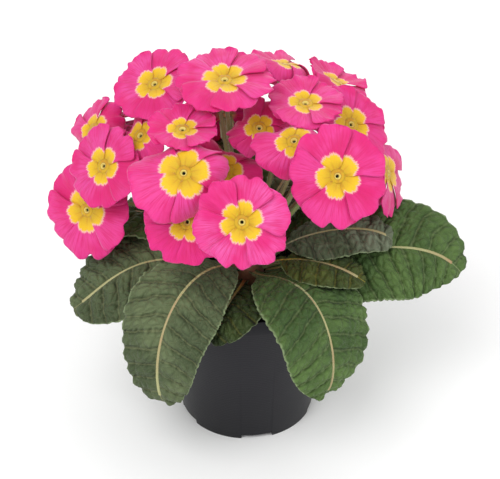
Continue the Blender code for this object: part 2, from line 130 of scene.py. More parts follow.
def maths(tree, operation, *values):
    return node(tree, "ShaderNodeMath", dict(enumerate(values)), operation=operation).outputs[0]


def times(tree, first, second):
    return maths(tree, "MULTIPLY", first, second)


def plus(tree, first, second):
    return maths(tree, "ADD", first, second)


def minus(tree, first, second):
    return maths(tree, "SUBTRACT", first, second)


def over(tree, first, second):
    return maths(tree, "DIVIDE", first, second)


def power(tree, first, second):
    return maths(tree, "POWER", first, second)


def bell(tree, value, width):
    """1 where the value is 0, and falling off to both sides within the width."""
    return maths(tree, "EXPONENT", times(tree, power(tree, over(tree, value, width), 2.0), -1.0))


def blend_colours(tree, share, first, second):
    """Mixes two colours by a share from 0 to 1."""
    paint = {0: share}
    for key, value in ((6, first), (7, second)):
        paint[key] = value if isinstance(value, bpy.types.NodeSocket) else (*value, 1)
    return node(tree, "ShaderNodeMix", paint, data_type="RGBA").outputs[2]


def tint(tree, colour, paint, mask, strength=1.0):
    """Lays a paint over a colour where the mask is 1, at some strength."""
    return blend_colours(tree, times(tree, mask, strength), colour, paint)


def split(tree, place):
    """The X, Y and Z of a vector."""
    return node(tree, "ShaderNodeSeparateXYZ", {0: place}).outputs


def own_map(tree, name):
    """A piece's own map, as two coordinates."""
    return split(tree, node(tree, "ShaderNodeUVMap", uv_map=name).outputs[0])


def object_place(tree):
    return node(tree, "ShaderNodeTexCoord").outputs["Object"]


def ramp(tree, value, low, high):
    """0 below low, 1 above high, and a smooth rise between."""
    sockets = {0: value, 1: low, 2: high}
    kind = "ShaderNodeMapRange"
    return node(tree, kind, sockets, interpolation_type="SMOOTHSTEP").outputs[0]


def noise(tree, place, scale, detail=2.0, roughness=0.5):
    sockets = {"Vector": place, "Scale": scale, "Detail": detail, "Roughness": roughness}
    return node(tree, "ShaderNodeTexNoise", sockets).outputs[0]


def new_group(name, ins, outs):
    """A shader node group with named inputs and outputs: (name, kind) pairs."""
    tree = bpy.data.node_groups.new(name, "ShaderNodeTree")
    for way, sockets in (("INPUT", ins), ("OUTPUT", outs)):
        for label, kind in sockets:
            tree.interface.new_socket(label, in_out=way, socket_type="NodeSocket" + kind)
    return tree, tree.nodes.new("NodeGroupInput").outputs, tree.nodes.new("NodeGroupOutput")


def new_material(name):
    made = bpy.data.materials.new(name)
    made.use_nodes = True
    return made, made.node_tree, made.node_tree.nodes["Principled BSDF"]


def plug(tree, shader, **values):
    """Sets or links the shader's sockets. An underscore in a key stands for a space."""
    for key, value in values.items():
        socket = shader.inputs[key.replace("_", " ")]
        if isinstance(value, bpy.types.NodeSocket):
            tree.links.new(value, socket)
        else:
            socket.default_value = value


def bump(tree, height, strength, distance):
    """Fine relief that only tilts the light."""
    sockets = {"Height": height, "Strength": strength, "Distance": distance}
    return node(tree, "ShaderNodeBump", sockets).outputs[0]


print("node helpers ready")

# %% [markdown]
# The same grain roughens the plastic, the soil and the stalks, each at its own size. So it is built
# once, as a group, and placed in each material with its own values.

# %% Shared grain
grain, grain_in, grain_out = new_group(
    "fine grain",
    (("Scale", "Float"), ("Uneven", "Float")),
    (("Value", "Float"), ("Patch", "Float")),
)
grain_place = object_place(grain)
grain_fine = noise(grain, grain_place, grain_in["Scale"], 4, 0.6)
grain_patch = noise(grain, grain_place, grain_in["Uneven"], 2, 0.5)
grain.links.new(grain_fine, grain_out.inputs["Value"])
grain.links.new(grain_patch, grain_out.inputs["Patch"])


def add_grain(tree, scale, uneven):
    placed = node(tree, "ShaderNodeGroup", node_tree=grain)
    placed.inputs["Scale"].default_value = scale
    placed.inputs["Uneven"].default_value = uneven
    return placed.outputs["Value"], placed.outputs["Patch"]


print("grain group ready")

# %% Floor
floor_material, tree, shader = new_material("floor")
speckle, patch = add_grain(tree, 90, 3)
plug(tree, shader, Base_Color=blend_colours(tree, patch, (0.93, 0.93, 0.93), (0.97, 0.97, 0.97)))
plug(tree, shader, Roughness=0.9, Specular_IOR_Level=0.1)
bpy.ops.mesh.primitive_plane_add(size=8)
floor = bpy.context.object
floor.name = "floor"
floor.data.materials.append(floor_material)
print("floor laid")

# %% [markdown]
# ## The pot
#
# A nursery pot is blown or moulded from thin dark plastic. Its wall leans outwards so that pots
# stack, its rim is a short collar, and shallow notches round the foot let water out. A turned shape
# is a profile and a Screw modifier. The notches and the drain holes are cut out, and a small Bevel
# softens every edge, because moulded plastic has no sharp ones.

# %% Pot measures
POT_HEIGHT = 80 * MM
POT_BASE_RADIUS = 32 * MM
POT_TOP_RADIUS = 43.5 * MM
POT_WALL = 1.2 * MM
LIP_RADIUS = 45 * MM
LIP_HEIGHT = 7 * MM
NOTCH_WIDTH, NOTCH_HEIGHT = 15 * MM, 2.2 * MM
DRAIN_RADIUS, DRAIN_RING = 4 * MM, 19 * MM
FOOT_CUTS = 5
NOTCH_START, DRAIN_START = 0.62, 0.12
POT_EDGE = 0.45 * MM
# In radians for each metre of height: about one mould ring every 1.2 mm.
MOULD_RINGS = 5200.0


def pot_radius(height):
    return POT_BASE_RADIUS + (POT_TOP_RADIUS - POT_BASE_RADIUS) * height / POT_HEIGHT


def pot_profile():
    under_lip = POT_HEIGHT - LIP_HEIGHT
    floor_height = NOTCH_HEIGHT + POT_WALL
    return (
        (0, floor_height),
        (pot_radius(NOTCH_HEIGHT) - POT_WALL, floor_height),
        (pot_radius(POT_HEIGHT) - POT_WALL, POT_HEIGHT),
        (LIP_RADIUS, POT_HEIGHT),
        (LIP_RADIUS - 0.2 * MM, under_lip),
        (pot_radius(under_lip), under_lip),
        (POT_BASE_RADIUS, 0),
        (0, 0),
    )


# %% Make meshes


def new_object(name, mesh, finish=None):
    obj = bpy.data.objects.new(name, mesh)
    bpy.context.scene.collection.objects.link(obj)
    if finish:
        mesh.materials.append(finish)
    return obj


def bake(obj):
    """Replaces an object's mesh by the one its modifiers make, and removes them."""
    graph = bpy.context.evaluated_depsgraph_get()
    made = bpy.data.meshes.new_from_object(obj.evaluated_get(graph))
    obj.modifiers.clear()
    if obj.type == "MESH":
        obj.data = made
        return obj
    name, users = obj.name, list(obj.users_collection)
    bpy.data.objects.remove(obj)
    solid = bpy.data.objects.new(name, made)
    users[0].objects.link(solid)
    return solid


def thicken(obj, thickness, back=0):
    """Gives a sheet its thickness. back is how many slots on its underside's material is."""
    solid = obj.modifiers.new("thickness", "SOLIDIFY")
    solid.thickness = thickness
    solid.offset = 0
    solid.material_offset = back
    bake(obj)


def turned(name, profile, steps, finish):
    """A profile of (radius, height) points turned round the Z axis."""
    mesh = bpy.data.meshes.new(name)
    edges = [(i, i + 1) for i in range(len(profile) - 1)]
    mesh.from_pydata([(r, 0, z) for r, z in profile], edges, [])
    obj = new_object(name, mesh, finish)
    screw = obj.modifiers.new("turn", "SCREW")
    screw.steps = screw.render_steps = steps
    screw.use_merge_vertices = True
    screw.merge_threshold = 0.00005
    bake(obj)
    outwards(obj)
    return obj


def outwards(obj):
    """Welds equal points and turns every face outwards."""
    tidy = bmesh.new()
    tidy.from_mesh(obj.data)
    bmesh.ops.remove_doubles(tidy, verts=tidy.verts, dist=1e-6)
    bmesh.ops.recalc_face_normals(tidy, faces=tidy.faces)
    tidy.to_mesh(obj.data)
    tidy.free()


def cut(obj, cutter):
    taken = obj.modifiers.new("cut", "BOOLEAN")
    taken.operation = "DIFFERENCE"
    taken.object = cutter
    bake(obj)
    bpy.data.objects.remove(cutter)


# %% [markdown]
# The plastic is nearly black, with a satin shine and a faint violet tint. It is a little darker towards
# the foot, patches of dust dull it here and there, and the mould leaves very fine rings. The grain
# group gives the dust patches and a fine speckle, at different sizes.

# %% Pot material
pot_material, tree, shader = new_material("pot_plastic")
place = object_place(tree)
height = split(tree, place)["Z"]
speckle, patch = add_grain(tree, 900, 28)
rise = ramp(tree, height, 0.0, 0.06)
colour = blend_colours(tree, rise, (0.005, 0.005, 0.007), (0.009, 0.0085, 0.013))
colour = tint(tree, colour, (0.016, 0.015, 0.020), patch, 0.35)
rings = maths(tree, "SINE", times(tree, height, MOULD_RINGS))
relief = plus(tree, times(tree, rings, 0.12), speckle)
rough = plus(tree, 0.36, times(tree, patch, 0.18))
plug(tree, shader, Base_Color=colour, Roughness=rough, Specular_IOR_Level=0.22)
plug(tree, shader, Normal=bump(tree, relief, 0.25, 0.0002))
print("pot plastic ready")

# %% Build the pot
pot = turned("pot_shell", pot_profile(), 96, pot_material)
for index in range(FOOT_CUTS):
    turn = 2 * math.pi * (index + NOTCH_START) / FOOT_CUTS
    bpy.ops.mesh.primitive_cube_add(size=1)
    notch = bpy.context.object
    notch.scale = (NOTCH_WIDTH, 12 * MM, 2 * NOTCH_HEIGHT)
    notch.rotation_euler.z = turn
    notch.location = (-math.sin(turn) * POT_BASE_RADIUS, math.cos(turn) * POT_BASE_RADIUS, 0)
    cut(pot, notch)
    turn = 2 * math.pi * (index + DRAIN_START) / FOOT_CUTS
    bpy.ops.mesh.primitive_cylinder_add(vertices=24, radius=DRAIN_RADIUS, depth=30 * MM)
    hole = bpy.context.object
    hole.location = (-math.sin(turn) * DRAIN_RING, math.cos(turn) * DRAIN_RING, 0)
    cut(pot, hole)
soften = pot.modifiers.new("soften", "BEVEL")
soften.width = POT_EDGE
soften.segments = 3
soften.limit_method = "ANGLE"
soften.angle_limit = math.radians(35)
bake(pot)
pot.data.shade_smooth()
pot.data.set_sharp_from_angle(angle=math.radians(40))
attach(pot, "root")
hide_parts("pot")
print(f"pot: {len(pot.data.polygons)} faces")

# %% [markdown]
# ## Helpers for Geometry Nodes
#
# Geometry Nodes make what repeats or follows a path. Each tree has named inputs for its sizes.
# Blender stores a modifier's values by the socket's identifier, so `grow` looks that up from the
# name. It sets the values before the object is first evaluated, and then turns the result into a
# plain mesh.

# %% Geometry Nodes helpers


def new_growth(name, *inputs):
    """A Geometry Nodes tree with float inputs: (name, value) pairs."""
    tree = bpy.data.node_groups.new(name, "GeometryNodeTree")
    tree.interface.new_socket("Geometry", in_out="INPUT", socket_type="NodeSocketGeometry")
    for label, value in inputs:
        made = tree.interface.new_socket(label, in_out="INPUT", socket_type="NodeSocketFloat")
        made.default_value = value
    tree.interface.new_socket("Geometry", in_out="OUTPUT", socket_type="NodeSocketGeometry")
    return tree, tree.nodes.new("NodeGroupInput").outputs


def end_growth(tree, geometry, finish):
    """Every tree ends in Realize Instances and Set Material."""
    real = node(tree, "GeometryNodeRealizeInstances", {0: geometry}).outputs[0]
    painted = node(tree, "GeometryNodeSetMaterial", {"Geometry": real, "Material": finish})
    tree.links.new(painted.outputs[0], tree.nodes.new("NodeGroupOutput").inputs[0])


def scatter(tree, mesh, density, seeds, shape, sizes, selection=True, rotation=None):
    """Copies of a shape on points scattered over a mesh, each of a random size. seeds: points, sizes."""
    spots = node(
        tree,
        "GeometryNodeDistributePointsOnFaces",
        {"Mesh": mesh, "Selection": selection, "Density": density, "Seed": seeds[0]},
    ).outputs
    drawn = {2: sizes[0], 3: sizes[1], "Seed": seeds[1]}
    size = node(tree, "FunctionNodeRandomValue", drawn, data_type="FLOAT").outputs[1]
    if rotation is None:
        rotation = spots["Rotation"]
    placed = {"Points": spots["Points"], "Instance": shape, "Rotation": rotation, "Scale": size}
    return node(tree, "GeometryNodeInstanceOnPoints", placed).outputs[0]


def grow(obj, tree, **values):
    modifier = obj.modifiers.new(tree.name, "NODES")
    modifier.node_group = tree
    for item in tree.interface.items_tree:
        if item.in_out == "INPUT" and item.name in values:
            modifier[item.identifier] = values[item.name]
    return bake(obj)


# %% [markdown]
# ## The soil
#
# Potting soil is peat and bark in crumbs. The measured solid fills the pot, with a lumpy top. Loose
# crumbs lie on it: points scattered over its upper faces, each with a small rough stone of random
# size and turn.

# %% Soil material
soil_material, tree, shader = new_material("potting_soil")
crumb, patch = add_grain(tree, 700, 120)
colour = blend_colours(tree, patch, (0.010, 0.006, 0.004), (0.060, 0.036, 0.022))
colour = tint(tree, colour, (0.12, 0.085, 0.055), ramp(tree, crumb, 0.62, 0.7))
plug(tree, shader, Base_Color=colour, Roughness=0.95)
plug(tree, shader, Normal=bump(tree, crumb, 0.9, 0.0012))

# %% Scatter the crumbs
CRUMB_SIZE = 1.2 * MM
crumbs_tree, sockets = new_growth(
    "soil crumbs", ("Crumb size", CRUMB_SIZE), ("Per square metre", 60000.0)
)
upwards = node(crumbs_tree, "GeometryNodeInputNormal").outputs[0]
on_top = maths(crumbs_tree, "GREATER_THAN", split(crumbs_tree, upwards)["Z"], 0.5)
stone = node(
    crumbs_tree, "GeometryNodeMeshIcoSphere", {"Radius": sockets["Crumb size"], "Subdivisions": 1}
).outputs[0]
turn = node(
    crumbs_tree,
    "FunctionNodeRandomValue",
    {0: (0, 0, 0), 1: (6.28, 6.28, 6.28), "Seed": 6},
    data_type="FLOAT_VECTOR",
).outputs[0]
dense = sockets["Per square metre"]
stones = scatter(crumbs_tree, sockets["Geometry"], dense, (11, 5), stone, (0.35, 1.1), on_top, turn)
end_growth(crumbs_tree, stones, soil_material)
soil_top = new_object("soil_crumbs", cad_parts["soil"].data.copy())
outwards(soil_top)
crumbs = grow(soil_top, crumbs_tree, **{"Crumb size": CRUMB_SIZE})
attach(crumbs, "root")
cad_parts["soil"].data.materials.clear()
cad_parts["soil"].data.materials.append(soil_material)
print(f"crumbs: {len(crumbs.data.polygons)} faces")

# %% [markdown]
# ## Where the blooms stand
#
# Each bloom has a place, a way that it faces and a turn, as measured from the photograph. `limb`
# gives any point on a bloom's flat limb, which starts up a little from the mouth of the tube and
# then curls back. A crowded bloom gives way: `settle_blooms` curls it further back, one direction
# at a time, until it clears the blooms above it and every stalk. The list runs from the top bloom
# down.

# %% Bloom measures
MOUTH_RADIUS = 2.6 * MM
THROAT_SLOPE = math.radians(14)
CALYX_TOP, CALYX_TOOTH = 3.2 * MM, 2.4 * MM
CALYX_RADIUS, CALYX_LENGTH = 3.3 * MM, 12.5 * MM
STALK_FOOT = 79 * MM
# In millimetres: how far from the middle a stalk starts, how high it rises, how far it leans out by then,
# and how far below the calyx it turns to face the flower.
STALK_RING, STALK_RISE, STALK_LEAN, STALK_ARRIVE = 4.6, 26, 14, 24
FULL_SPREAD = 55 * MM
RAYS, RINGS = 36, 7
RAY_ANGLES = np.arange(RAYS) * 2 * math.pi / RAYS
PETAL_CLEAR, STALK_CLEAR = 3.6 * MM, 4.8 * MM
BEND_STEP, BEND_LIMIT = math.radians(4), math.radians(115)
BEND_SPREAD = (1.0, 0.9, 0.65, 0.4, 0.2)

Bloom = namedtuple("Bloom", "name place bearing lift turn radius curl petals back pale")
# The last column, pale, is partly painted light: blooms out in the light are set paler, and blooms tucked
# in shade deeper.
BLOOMS = (
    Bloom("top_centre", (-9.5, -3, 181), -15, 78, -34, 22, 15, 6, 0, 0.5),
    Bloom("front_centre", (-2, -60, 145), -4, 32, 9, 21, 8, 6, 0, 0.95),
    Bloom("front_right", (39, -36, 152.5), 12, 34, -20, 22.5, 12, 5, 0, 0.35),
    Bloom("upper_left", (-27.5, -24, 168.5), -10, 80, -30, 15.5, -5, 5, 0, 0.4),
    Bloom("side_left", (-63.5, -11, 142), -42, 34, 15, 19.5, 20, 5, 0, 0.5),
    Bloom("front_left", (-26.5, -46, 160.5), -12, 46, 0, 25, 5, 5, 60, 0.4),
    Bloom("side_left_low", (-72.5, -8, 116.5), -32, 20, 21, 23, 20, 5, 0, 0.35),
    Bloom("top_left", (-41, 13, 170), -40, 62, -14, 20, 12, 5, 0, 0.6),
    Bloom("top_right", (26, -1, 168), 20, 80, 0, 17.5, 5, 5, 0, 0.5),
    Bloom("upper_right", (47, 7, 152.5), 40, 46, -5, 19.5, 20, 5, 0, 0.3),
    Bloom("side_right", (64, 1, 130.5), 72, 18, 0, 20, 20, 5, 0, 0.4),
    Bloom("mid_right", (20.5, -24.5, 163), -22, 64, 20, 18.5, 10, 5, 55, 0.4),
    Bloom("far_left", (-69, 8, 149.5), -65, 45, 10, 17, 25, 5, 0, 0.35),
    Bloom("front_low", (-25.5, -48, 137), -14, 28, 0, 19.5, 8, 5, 20, 0.0),
    Bloom("crest_right", (41, 33, 160), 120, 60, 20, 16.5, -20, 5, 0, 0.35),
    Bloom("crest_back", (18, 29, 171), 170, 68, 0, 16.5, -20, 5, 0, 0.35),
    Bloom("inner_right", (5.6, -8.6, 160), 0, 60, 40, 15.2, 0, 5, 0, 0.2),
    Bloom("inner_left", (-47, -5, 154), -48, 50, 5, 16, 5, 5, 0, 0.2),
    Bloom("inner_low", (-9, -16, 143), 24, 48, 30, 17, 0, 5, 0, 0.1),
    Bloom("back_top", (-14, 42, 163), -170, 55, 25, 20.5, 15, 5, 0, 0.5),
    Bloom("back_left", (-46, 44, 144), -138, 42, 0, 20.5, 15, 5, 0, 0.4),
    Bloom("back_right", (27, 56, 142), 152, 40, 10, 20.5, 15, 5, 0, 0.5),
    Bloom("back_low", (-10, 64, 124), -176, 20, 35, 20, 18, 5, 0, 0.3),
    Bloom("back_far_left", (-66, 36, 123), -112, 20, 20, 21, 20, 5, 0, 0.4),
    Bloom("back_far_right", (57, 31, 126), 122, 22, 5, 20, 20, 5, 0, 0.4),
)
print(f"{len(BLOOMS)} blooms")

# %% Bloom geometry


def heading(bearing, lift):
    b, l = math.radians(bearing), math.radians(lift)
    return np.array([math.sin(b) * math.cos(l), -math.cos(b) * math.cos(l), math.sin(l)])


def bloom_axes(bloom):
    """The bloom's place and its axes: right, top, and the way it faces."""
    face = heading(bloom.bearing, bloom.lift)
    right = np.cross([0, 0, 1], face)
    right /= np.linalg.norm(right)
    return np.array(bloom.place) * MM, right, np.cross(face, right), face


def limb(bloom, angle, reach, height, bend):
    """Points on the limb at an angle, a reach from the middle and a height above the sheet."""
    centre, right, top, face = bloom_axes(bloom)
    length = bloom.radius * MM - MOUTH_RADIUS
    curl = THROAT_SLOPE + np.interp(angle, RAY_ANGLES, bend, period=2 * math.pi)
    curl = np.where(np.abs(curl) < 1e-3, 1e-3, curl)
    slope = THROAT_SLOPE - curl * (reach - MOUTH_RADIUS) / length
    out = MOUTH_RADIUS + length / curl * (math.sin(THROAT_SLOPE) - np.sin(slope)) - height * np.sin(slope)
    up = length / curl * (np.cos(slope) - math.cos(THROAT_SLOPE)) + height * np.cos(slope)
    return (
        centre
        + (out * np.cos(angle))[..., None] * top
        + (out * np.sin(angle))[..., None] * right
        + up[..., None] * face
    )


def limb_samples(bloom, bend):
    angle, ring = np.meshgrid(RAY_ANGLES, np.linspace(0.25, 1, RINGS), indexing="ij")
    return limb(bloom, angle, ring * bloom.radius * MM, np.zeros_like(angle), bend)


def stalk_path(bloom, count):
    """Points on a smooth curve from the crown to the foot of the calyx."""
    centre, _, _, face = bloom_axes(bloom)
    end = centre - face * (CALYX_LENGTH + CALYX_TOP - 0.3 * MM)
    level = np.array([end[0], end[1], 0])
    spread = min(1.0, np.linalg.norm(level) / FULL_SPREAD)
    level /= np.linalg.norm(level)
    start = level * STALK_RING * MM * spread + np.array([0, 0, STALK_FOOT])
    rise = start + np.array([0, 0, STALK_RISE * MM]) + level * STALK_LEAN * MM * spread
    arrive = end - face * STALK_ARRIVE * MM
    t = np.linspace(0, 1, count)[:, None]
    return (1 - t) ** 3 * start + 3 * (1 - t) ** 2 * t * rise + 3 * (1 - t) * t**2 * arrive + t**3 * end


def stalk_samples(bloom):
    centre, _, _, face = bloom_axes(bloom)
    calyx = centre - np.linspace(3, 15, 5)[:, None] * MM * face
    return np.concatenate([calyx, stalk_path(bloom, 24)[6:]])


def settle_blooms():
    """How far each bloom bends back along each of its rays, so that it clears its neighbours."""
    bends, placed = {}, []
    for bloom in BLOOMS:
        stalks = np.concatenate([stalk_samples(b) for b in BLOOMS if b is not bloom])
        upward = np.maximum(0, np.cos(RAY_ANGLES))
        bend = np.radians(bloom.curl + bloom.back * upward)
        while True:
            flat = limb_samples(bloom, bend).reshape(-1, 3)
            gap = np.linalg.norm(flat[:, None] - stalks[None], axis=2).min(axis=1) - STALK_CLEAR
            for other in placed:
                apart = np.linalg.norm(flat[:, None] - other[None], axis=2).min(axis=1)
                gap = np.minimum(gap, apart - PETAL_CLEAR)
            hit = gap.reshape(RAYS, RINGS).min(axis=1) < 0
            hit &= bend < BEND_LIMIT
            if not hit.any():
                break
            push = np.zeros(RAYS)
            for step, share in enumerate(BEND_SPREAD):
                push = np.maximum(push, share * np.roll(hit, step))
                push = np.maximum(push, share * np.roll(hit, -step))
            bend = bend + BEND_STEP * push
        bends[bloom.name] = bend
        placed.append(limb_samples(bloom, bend).reshape(-1, 3))
    return bends


bends = settle_blooms()
most_bent = math.degrees(max(bend.max() for bend in bends.values()))
print(f"blooms settled: the most bent turns back {most_bent:.0f} degrees")

# %% [markdown]
# ## The petals' colour
#
# The pink is not even. Fine darker lines fan out from the eye, and the petal is lilac where light
# grazes its velvet. The eye is a yellow star with one round lobe on each petal, a fringed cream
# border and an orange streak along each middle line. Paint like this follows the petal, so each
# petal carries its own map: one coordinate runs across it by angle, and the other runs out from the
# mouth as a share of the bloom's radius.

# %% Star group
star, star_in, star_out = new_group(
    "primrose star",
    (("Reach", "Float"),),
    (("Star", "Float"), ("Border", "Float"), ("Streak", "Float"), ("Lines", "Float"), ("Out", "Float")),
)
petal_map = own_map(star, "petal")
# The first coordinate is the petal's own number plus its angle from 0 to 1.
whole = petal_map["X"]
across = times(star, minus(star, maths(star, "FRACT", whole), 0.5), 2.6)
out = petal_map["Y"]
side = maths(star, "ABSOLUTE", across)
fan = node(star, "ShaderNodeCombineXYZ", {0: times(star, whole, 34.0), 1: times(star, out, 2.5)})
fringe = noise(star, fan.outputs[0], 1.6, 3, 0.6)
lobe_side = maths(star, "MINIMUM", side, 1.0)
lobe = minus(star, 1.0, times(star, power(star, lobe_side, 3.0), 0.27))
notch_depth = times(star, bell(star, side, 0.12), 0.07)
edge = times(star, star_in["Reach"], minus(star, lobe, notch_depth))
edge = plus(star, edge, times(star, minus(star, fringe, 0.5), 0.17))
inside = minus(star, edge, out)
streak = bell(star, side, 0.10)
seam = bell(star, minus(star, 1.0, lobe_side), 0.16)
fine_fan = node(star, "ShaderNodeCombineXYZ", {0: times(star, whole, 24.0), 1: times(star, out, 1.6)})
lines = noise(star, fine_fan.outputs[0], 1.5, 2, 0.55)
for value, label in (
    (ramp(star, inside, 0.0, 0.02), "Star"),
    (ramp(star, inside, -0.045, 0.0), "Border"),
    (times(star, maths(star, "MAXIMUM", streak, seam), ramp(star, out, 0.36, 0.14)), "Streak"),
    (ramp(star, lines, 0.42, 0.68), "Lines"),
    (out, "Out"),
):
    star.links.new(value, star_out.inputs[label])
print("star group ready")

# %% Petal materials
PINK_DEEP = (0.62, 0.006, 0.130)
PINK = (0.72, 0.018, 0.215)
PINK_PALE = (0.74, 0.095, 0.36)
CRIMSON = (0.56, 0.006, 0.075)
STAR_REACH = 0.44
# Round the mouth: where each ring starts and is full, as shares of the radius, its colour and strength.
MOUTH_RINGS = (
    (0.098, 0.086, (0.36, 0.20, 0.02), 0.6),
    (0.080, 0.070, (0.74, 0.58, 0.14), 1.0),
    (0.050, 0.034, (0.09, 0.10, 0.02), 1.0),
)
GLOW = {"Subsurface_Weight": 0.12, "Subsurface_Scale": 0.003, "Subsurface_Radius": (1.0, 0.25, 0.35)}


def petal_material(name, pale):
    """pale runs from 0, a deep pink, to 1, a lilac pink. It is partly the bloom's own tone and partly
    painted light: blooms out in the light are set paler, and blooms tucked in shade deeper.
    """
    made, tree, shader = new_material(name)
    placed = node(tree, "ShaderNodeGroup", node_tree=star)
    placed.inputs["Reach"].default_value = STAR_REACH
    out = placed.outputs["Out"]
    base = [a + (b - a) * pale for a, b in zip(PINK, PINK_PALE)]
    dark = [a + (b - a) * pale * 0.6 for a, b in zip(PINK_DEEP, PINK)]
    patches = noise(tree, object_place(tree), 70, 2, 0.5)
    colour = blend_colours(tree, ramp(tree, patches, 0.35, 0.65), dark, base)
    lined = times(tree, placed.outputs["Lines"], 0.7)
    colour = blend_colours(tree, lined, colour, PINK_DEEP)
    edge_share = times(tree, ramp(tree, out, 0.62, 1.0), 0.5)
    colour = blend_colours(tree, edge_share, colour, PINK)
    colour = tint(tree, colour, (0.95, 0.62, 0.50), placed.outputs["Border"], 0.75)
    yellow = blend_colours(tree, ramp(tree, out, 0.12, 0.40), (0.60, 0.36, 0.010), (0.82, 0.50, 0.012))
    yellow = tint(tree, yellow, (0.52, 0.22, 0.008), placed.outputs["Streak"], 0.6)
    colour = tint(tree, colour, yellow, placed.outputs["Star"])
    for start, full, paint, strength in MOUTH_RINGS:
        colour = tint(tree, colour, paint, ramp(tree, out, start, full), strength)
    fold = plus(tree, placed.outputs["Lines"], times(tree, patches, 0.4))
    plug(tree, shader, Base_Color=colour, Roughness=0.55, Specular_IOR_Level=0.3)
    plug(tree, shader, Normal=bump(tree, fold, 0.35, 0.0004))
    plug(tree, shader, Sheen_Weight=0.25, Sheen_Roughness=0.45, Sheen_Tint=(1.0, 0.75, 0.95, 1))
    plug(tree, shader, **GLOW)
    return made


def petal_back_material():
    made, tree, shader = new_material("petal_back")
    placed = node(tree, "ShaderNodeGroup", node_tree=star)
    colour = blend_colours(tree, placed.outputs["Lines"], PINK, CRIMSON)
    colour = tint(tree, colour, (0.62, 0.42, 0.16), ramp(tree, placed.outputs["Out"], 0.30, 0.12))
    plug(tree, shader, Base_Color=colour, Roughness=0.6, Specular_IOR_Level=0.25)
    plug(tree, shader, Normal=bump(tree, placed.outputs["Lines"], 0.4, 0.0004))
    plug(tree, shader, **GLOW)
    return made


petal_back = petal_back_material()
print("petal materials ready")

# %% [markdown]
# ## The petals' shape
#
# A primrose flower is one fused piece: a slim tube that opens into a flat limb of five or six
# lobes. Each lobe is heart-shaped, with a shallow notch, and its right edge lies over the next one
# like a pinwheel. The lobes are grids of points on the limb, lifted by a lap, a ruffle that grows
# towards the rim, and a soft crease along the middle. Solidify then gives them their thickness and
# paints the back in its own colour.

# %% Petal shape
PETAL_THICKNESS = 0.4 * MM
PETAL_LAP, PETAL_RUFFLE = 1.25 * MM, 0.55 * MM
PETAL_ALONG, PETAL_ACROSS = 18, 24
PETAL_SHARES = (0.0, 0.2, 0.42, 0.74, 0.92, 1.0)
PETAL_WIDTHS = (0.12, 0.235, 0.37, 0.60, 0.58, 0.50)
PETAL_NOTCH, PETAL_SHOULDER = 0.085, 0.22
RIM_WAVE, PETAL_CREASE, PETAL_RIB = 0.30 * MM, 0.35 * MM, 0.05 * MM


def petal_grid(bloom, index, bend):
    """One petal: its points, and its map of (number and angle, share of the radius)."""
    radius = bloom.radius * MM
    share, side = np.meshgrid(
        np.linspace(0, 1, PETAL_ALONG + 1), np.linspace(-1, 1, PETAL_ACROSS + 1), indexing="ij"
    )
    own = 1 + 0.035 * math.sin(2.3 * index + bloom.place[0])
    notch = PETAL_NOTCH * (1 + 0.5 * math.sin(1.9 * index + bloom.place[1]))
    tip = own * (1 - PETAL_SHOULDER * np.abs(side) ** 2.6 - notch * np.exp(-((side / 0.2) ** 2)))
    tip += 0.010 * np.sin(7 * side + 2.1 * index) + 0.004 * np.sin(17 * side + index)
    fits = np.polyfit(PETAL_SHARES, PETAL_WIDTHS, len(PETAL_SHARES) - 1)
    width = np.polyval(fits, share) * radius * 5 / bloom.petals
    along = MOUTH_RADIUS + share * (radius * tip - MOUTH_RADIUS)
    across = side * width
    lap = PETAL_LAP * side * share**0.5
    wave = PETAL_RUFFLE * np.sin(2.6 * math.pi * side + 1.7 * index) * share**2
    wave += RIM_WAVE * np.sin(5.3 * math.pi * side + 0.9 * index + bloom.place[2]) * share**5
    crease = -PETAL_CREASE * np.exp(-((side / 0.13) ** 2)) * share * (1.1 - share)
    rib = PETAL_RIB * np.cos(38 * side) * share
    middle = math.radians(bloom.turn) + 2 * math.pi * index / bloom.petals
    turn = np.arctan2(across, along)
    points = limb(bloom, middle + turn, np.hypot(along, across), lap + wave + crease + rib, bend)
    label = index + 0.5 + turn / (2 * math.pi / bloom.petals) / 1.3
    return points, np.stack([label, np.hypot(along, across) / radius], axis=-1)


# The throat and the tube: radius and depth in millimetres, and the place on the petal's map.
TUBE_SIDES = 30
TUBE = (
    (3.4, -0.14, 0.165),
    (2.6, -0.26, 0.13),
    (1.9, -0.26, 0.097),
    (1.4, -0.42, 0.075),
    (1.0, 0.0, 0.052),
    (0.75, 1.2, 0.025),
    (1.1, 4.0, 0.01),
    (1.9, 12.0, 0.0),
    (0.0, 12.2, 0.0),
)


def grid_faces(rows, columns, first=0, closed=False):
    """Quads over a grid of points. A closed grid joins its last column to its first."""
    i, j = np.meshgrid(np.arange(rows - 1), np.arange(columns if closed else columns - 1), indexing="ij")
    k = (j + 1) % columns
    corners = (i * columns + j, i * columns + k, (i + 1) * columns + k, (i + 1) * columns + j)
    return (np.stack(corners, axis=-1).reshape(-1, 4) + first).tolist()


def mapped_mesh(name, points, faces, **maps):
    """A mesh with one UV map for each named array of per-point coordinates."""
    mesh = bpy.data.meshes.new(name)
    mesh.from_pydata(points.tolist(), [], faces)
    corners = np.empty(len(mesh.loops), np.int32)
    mesh.loops.foreach_get("vertex_index", corners)
    for label, values in maps.items():
        layer = mesh.uv_layers.new(name=label)
        layer.data.foreach_set("uv", values[corners].astype(np.float32).ravel())
    mesh.shade_smooth()
    return mesh


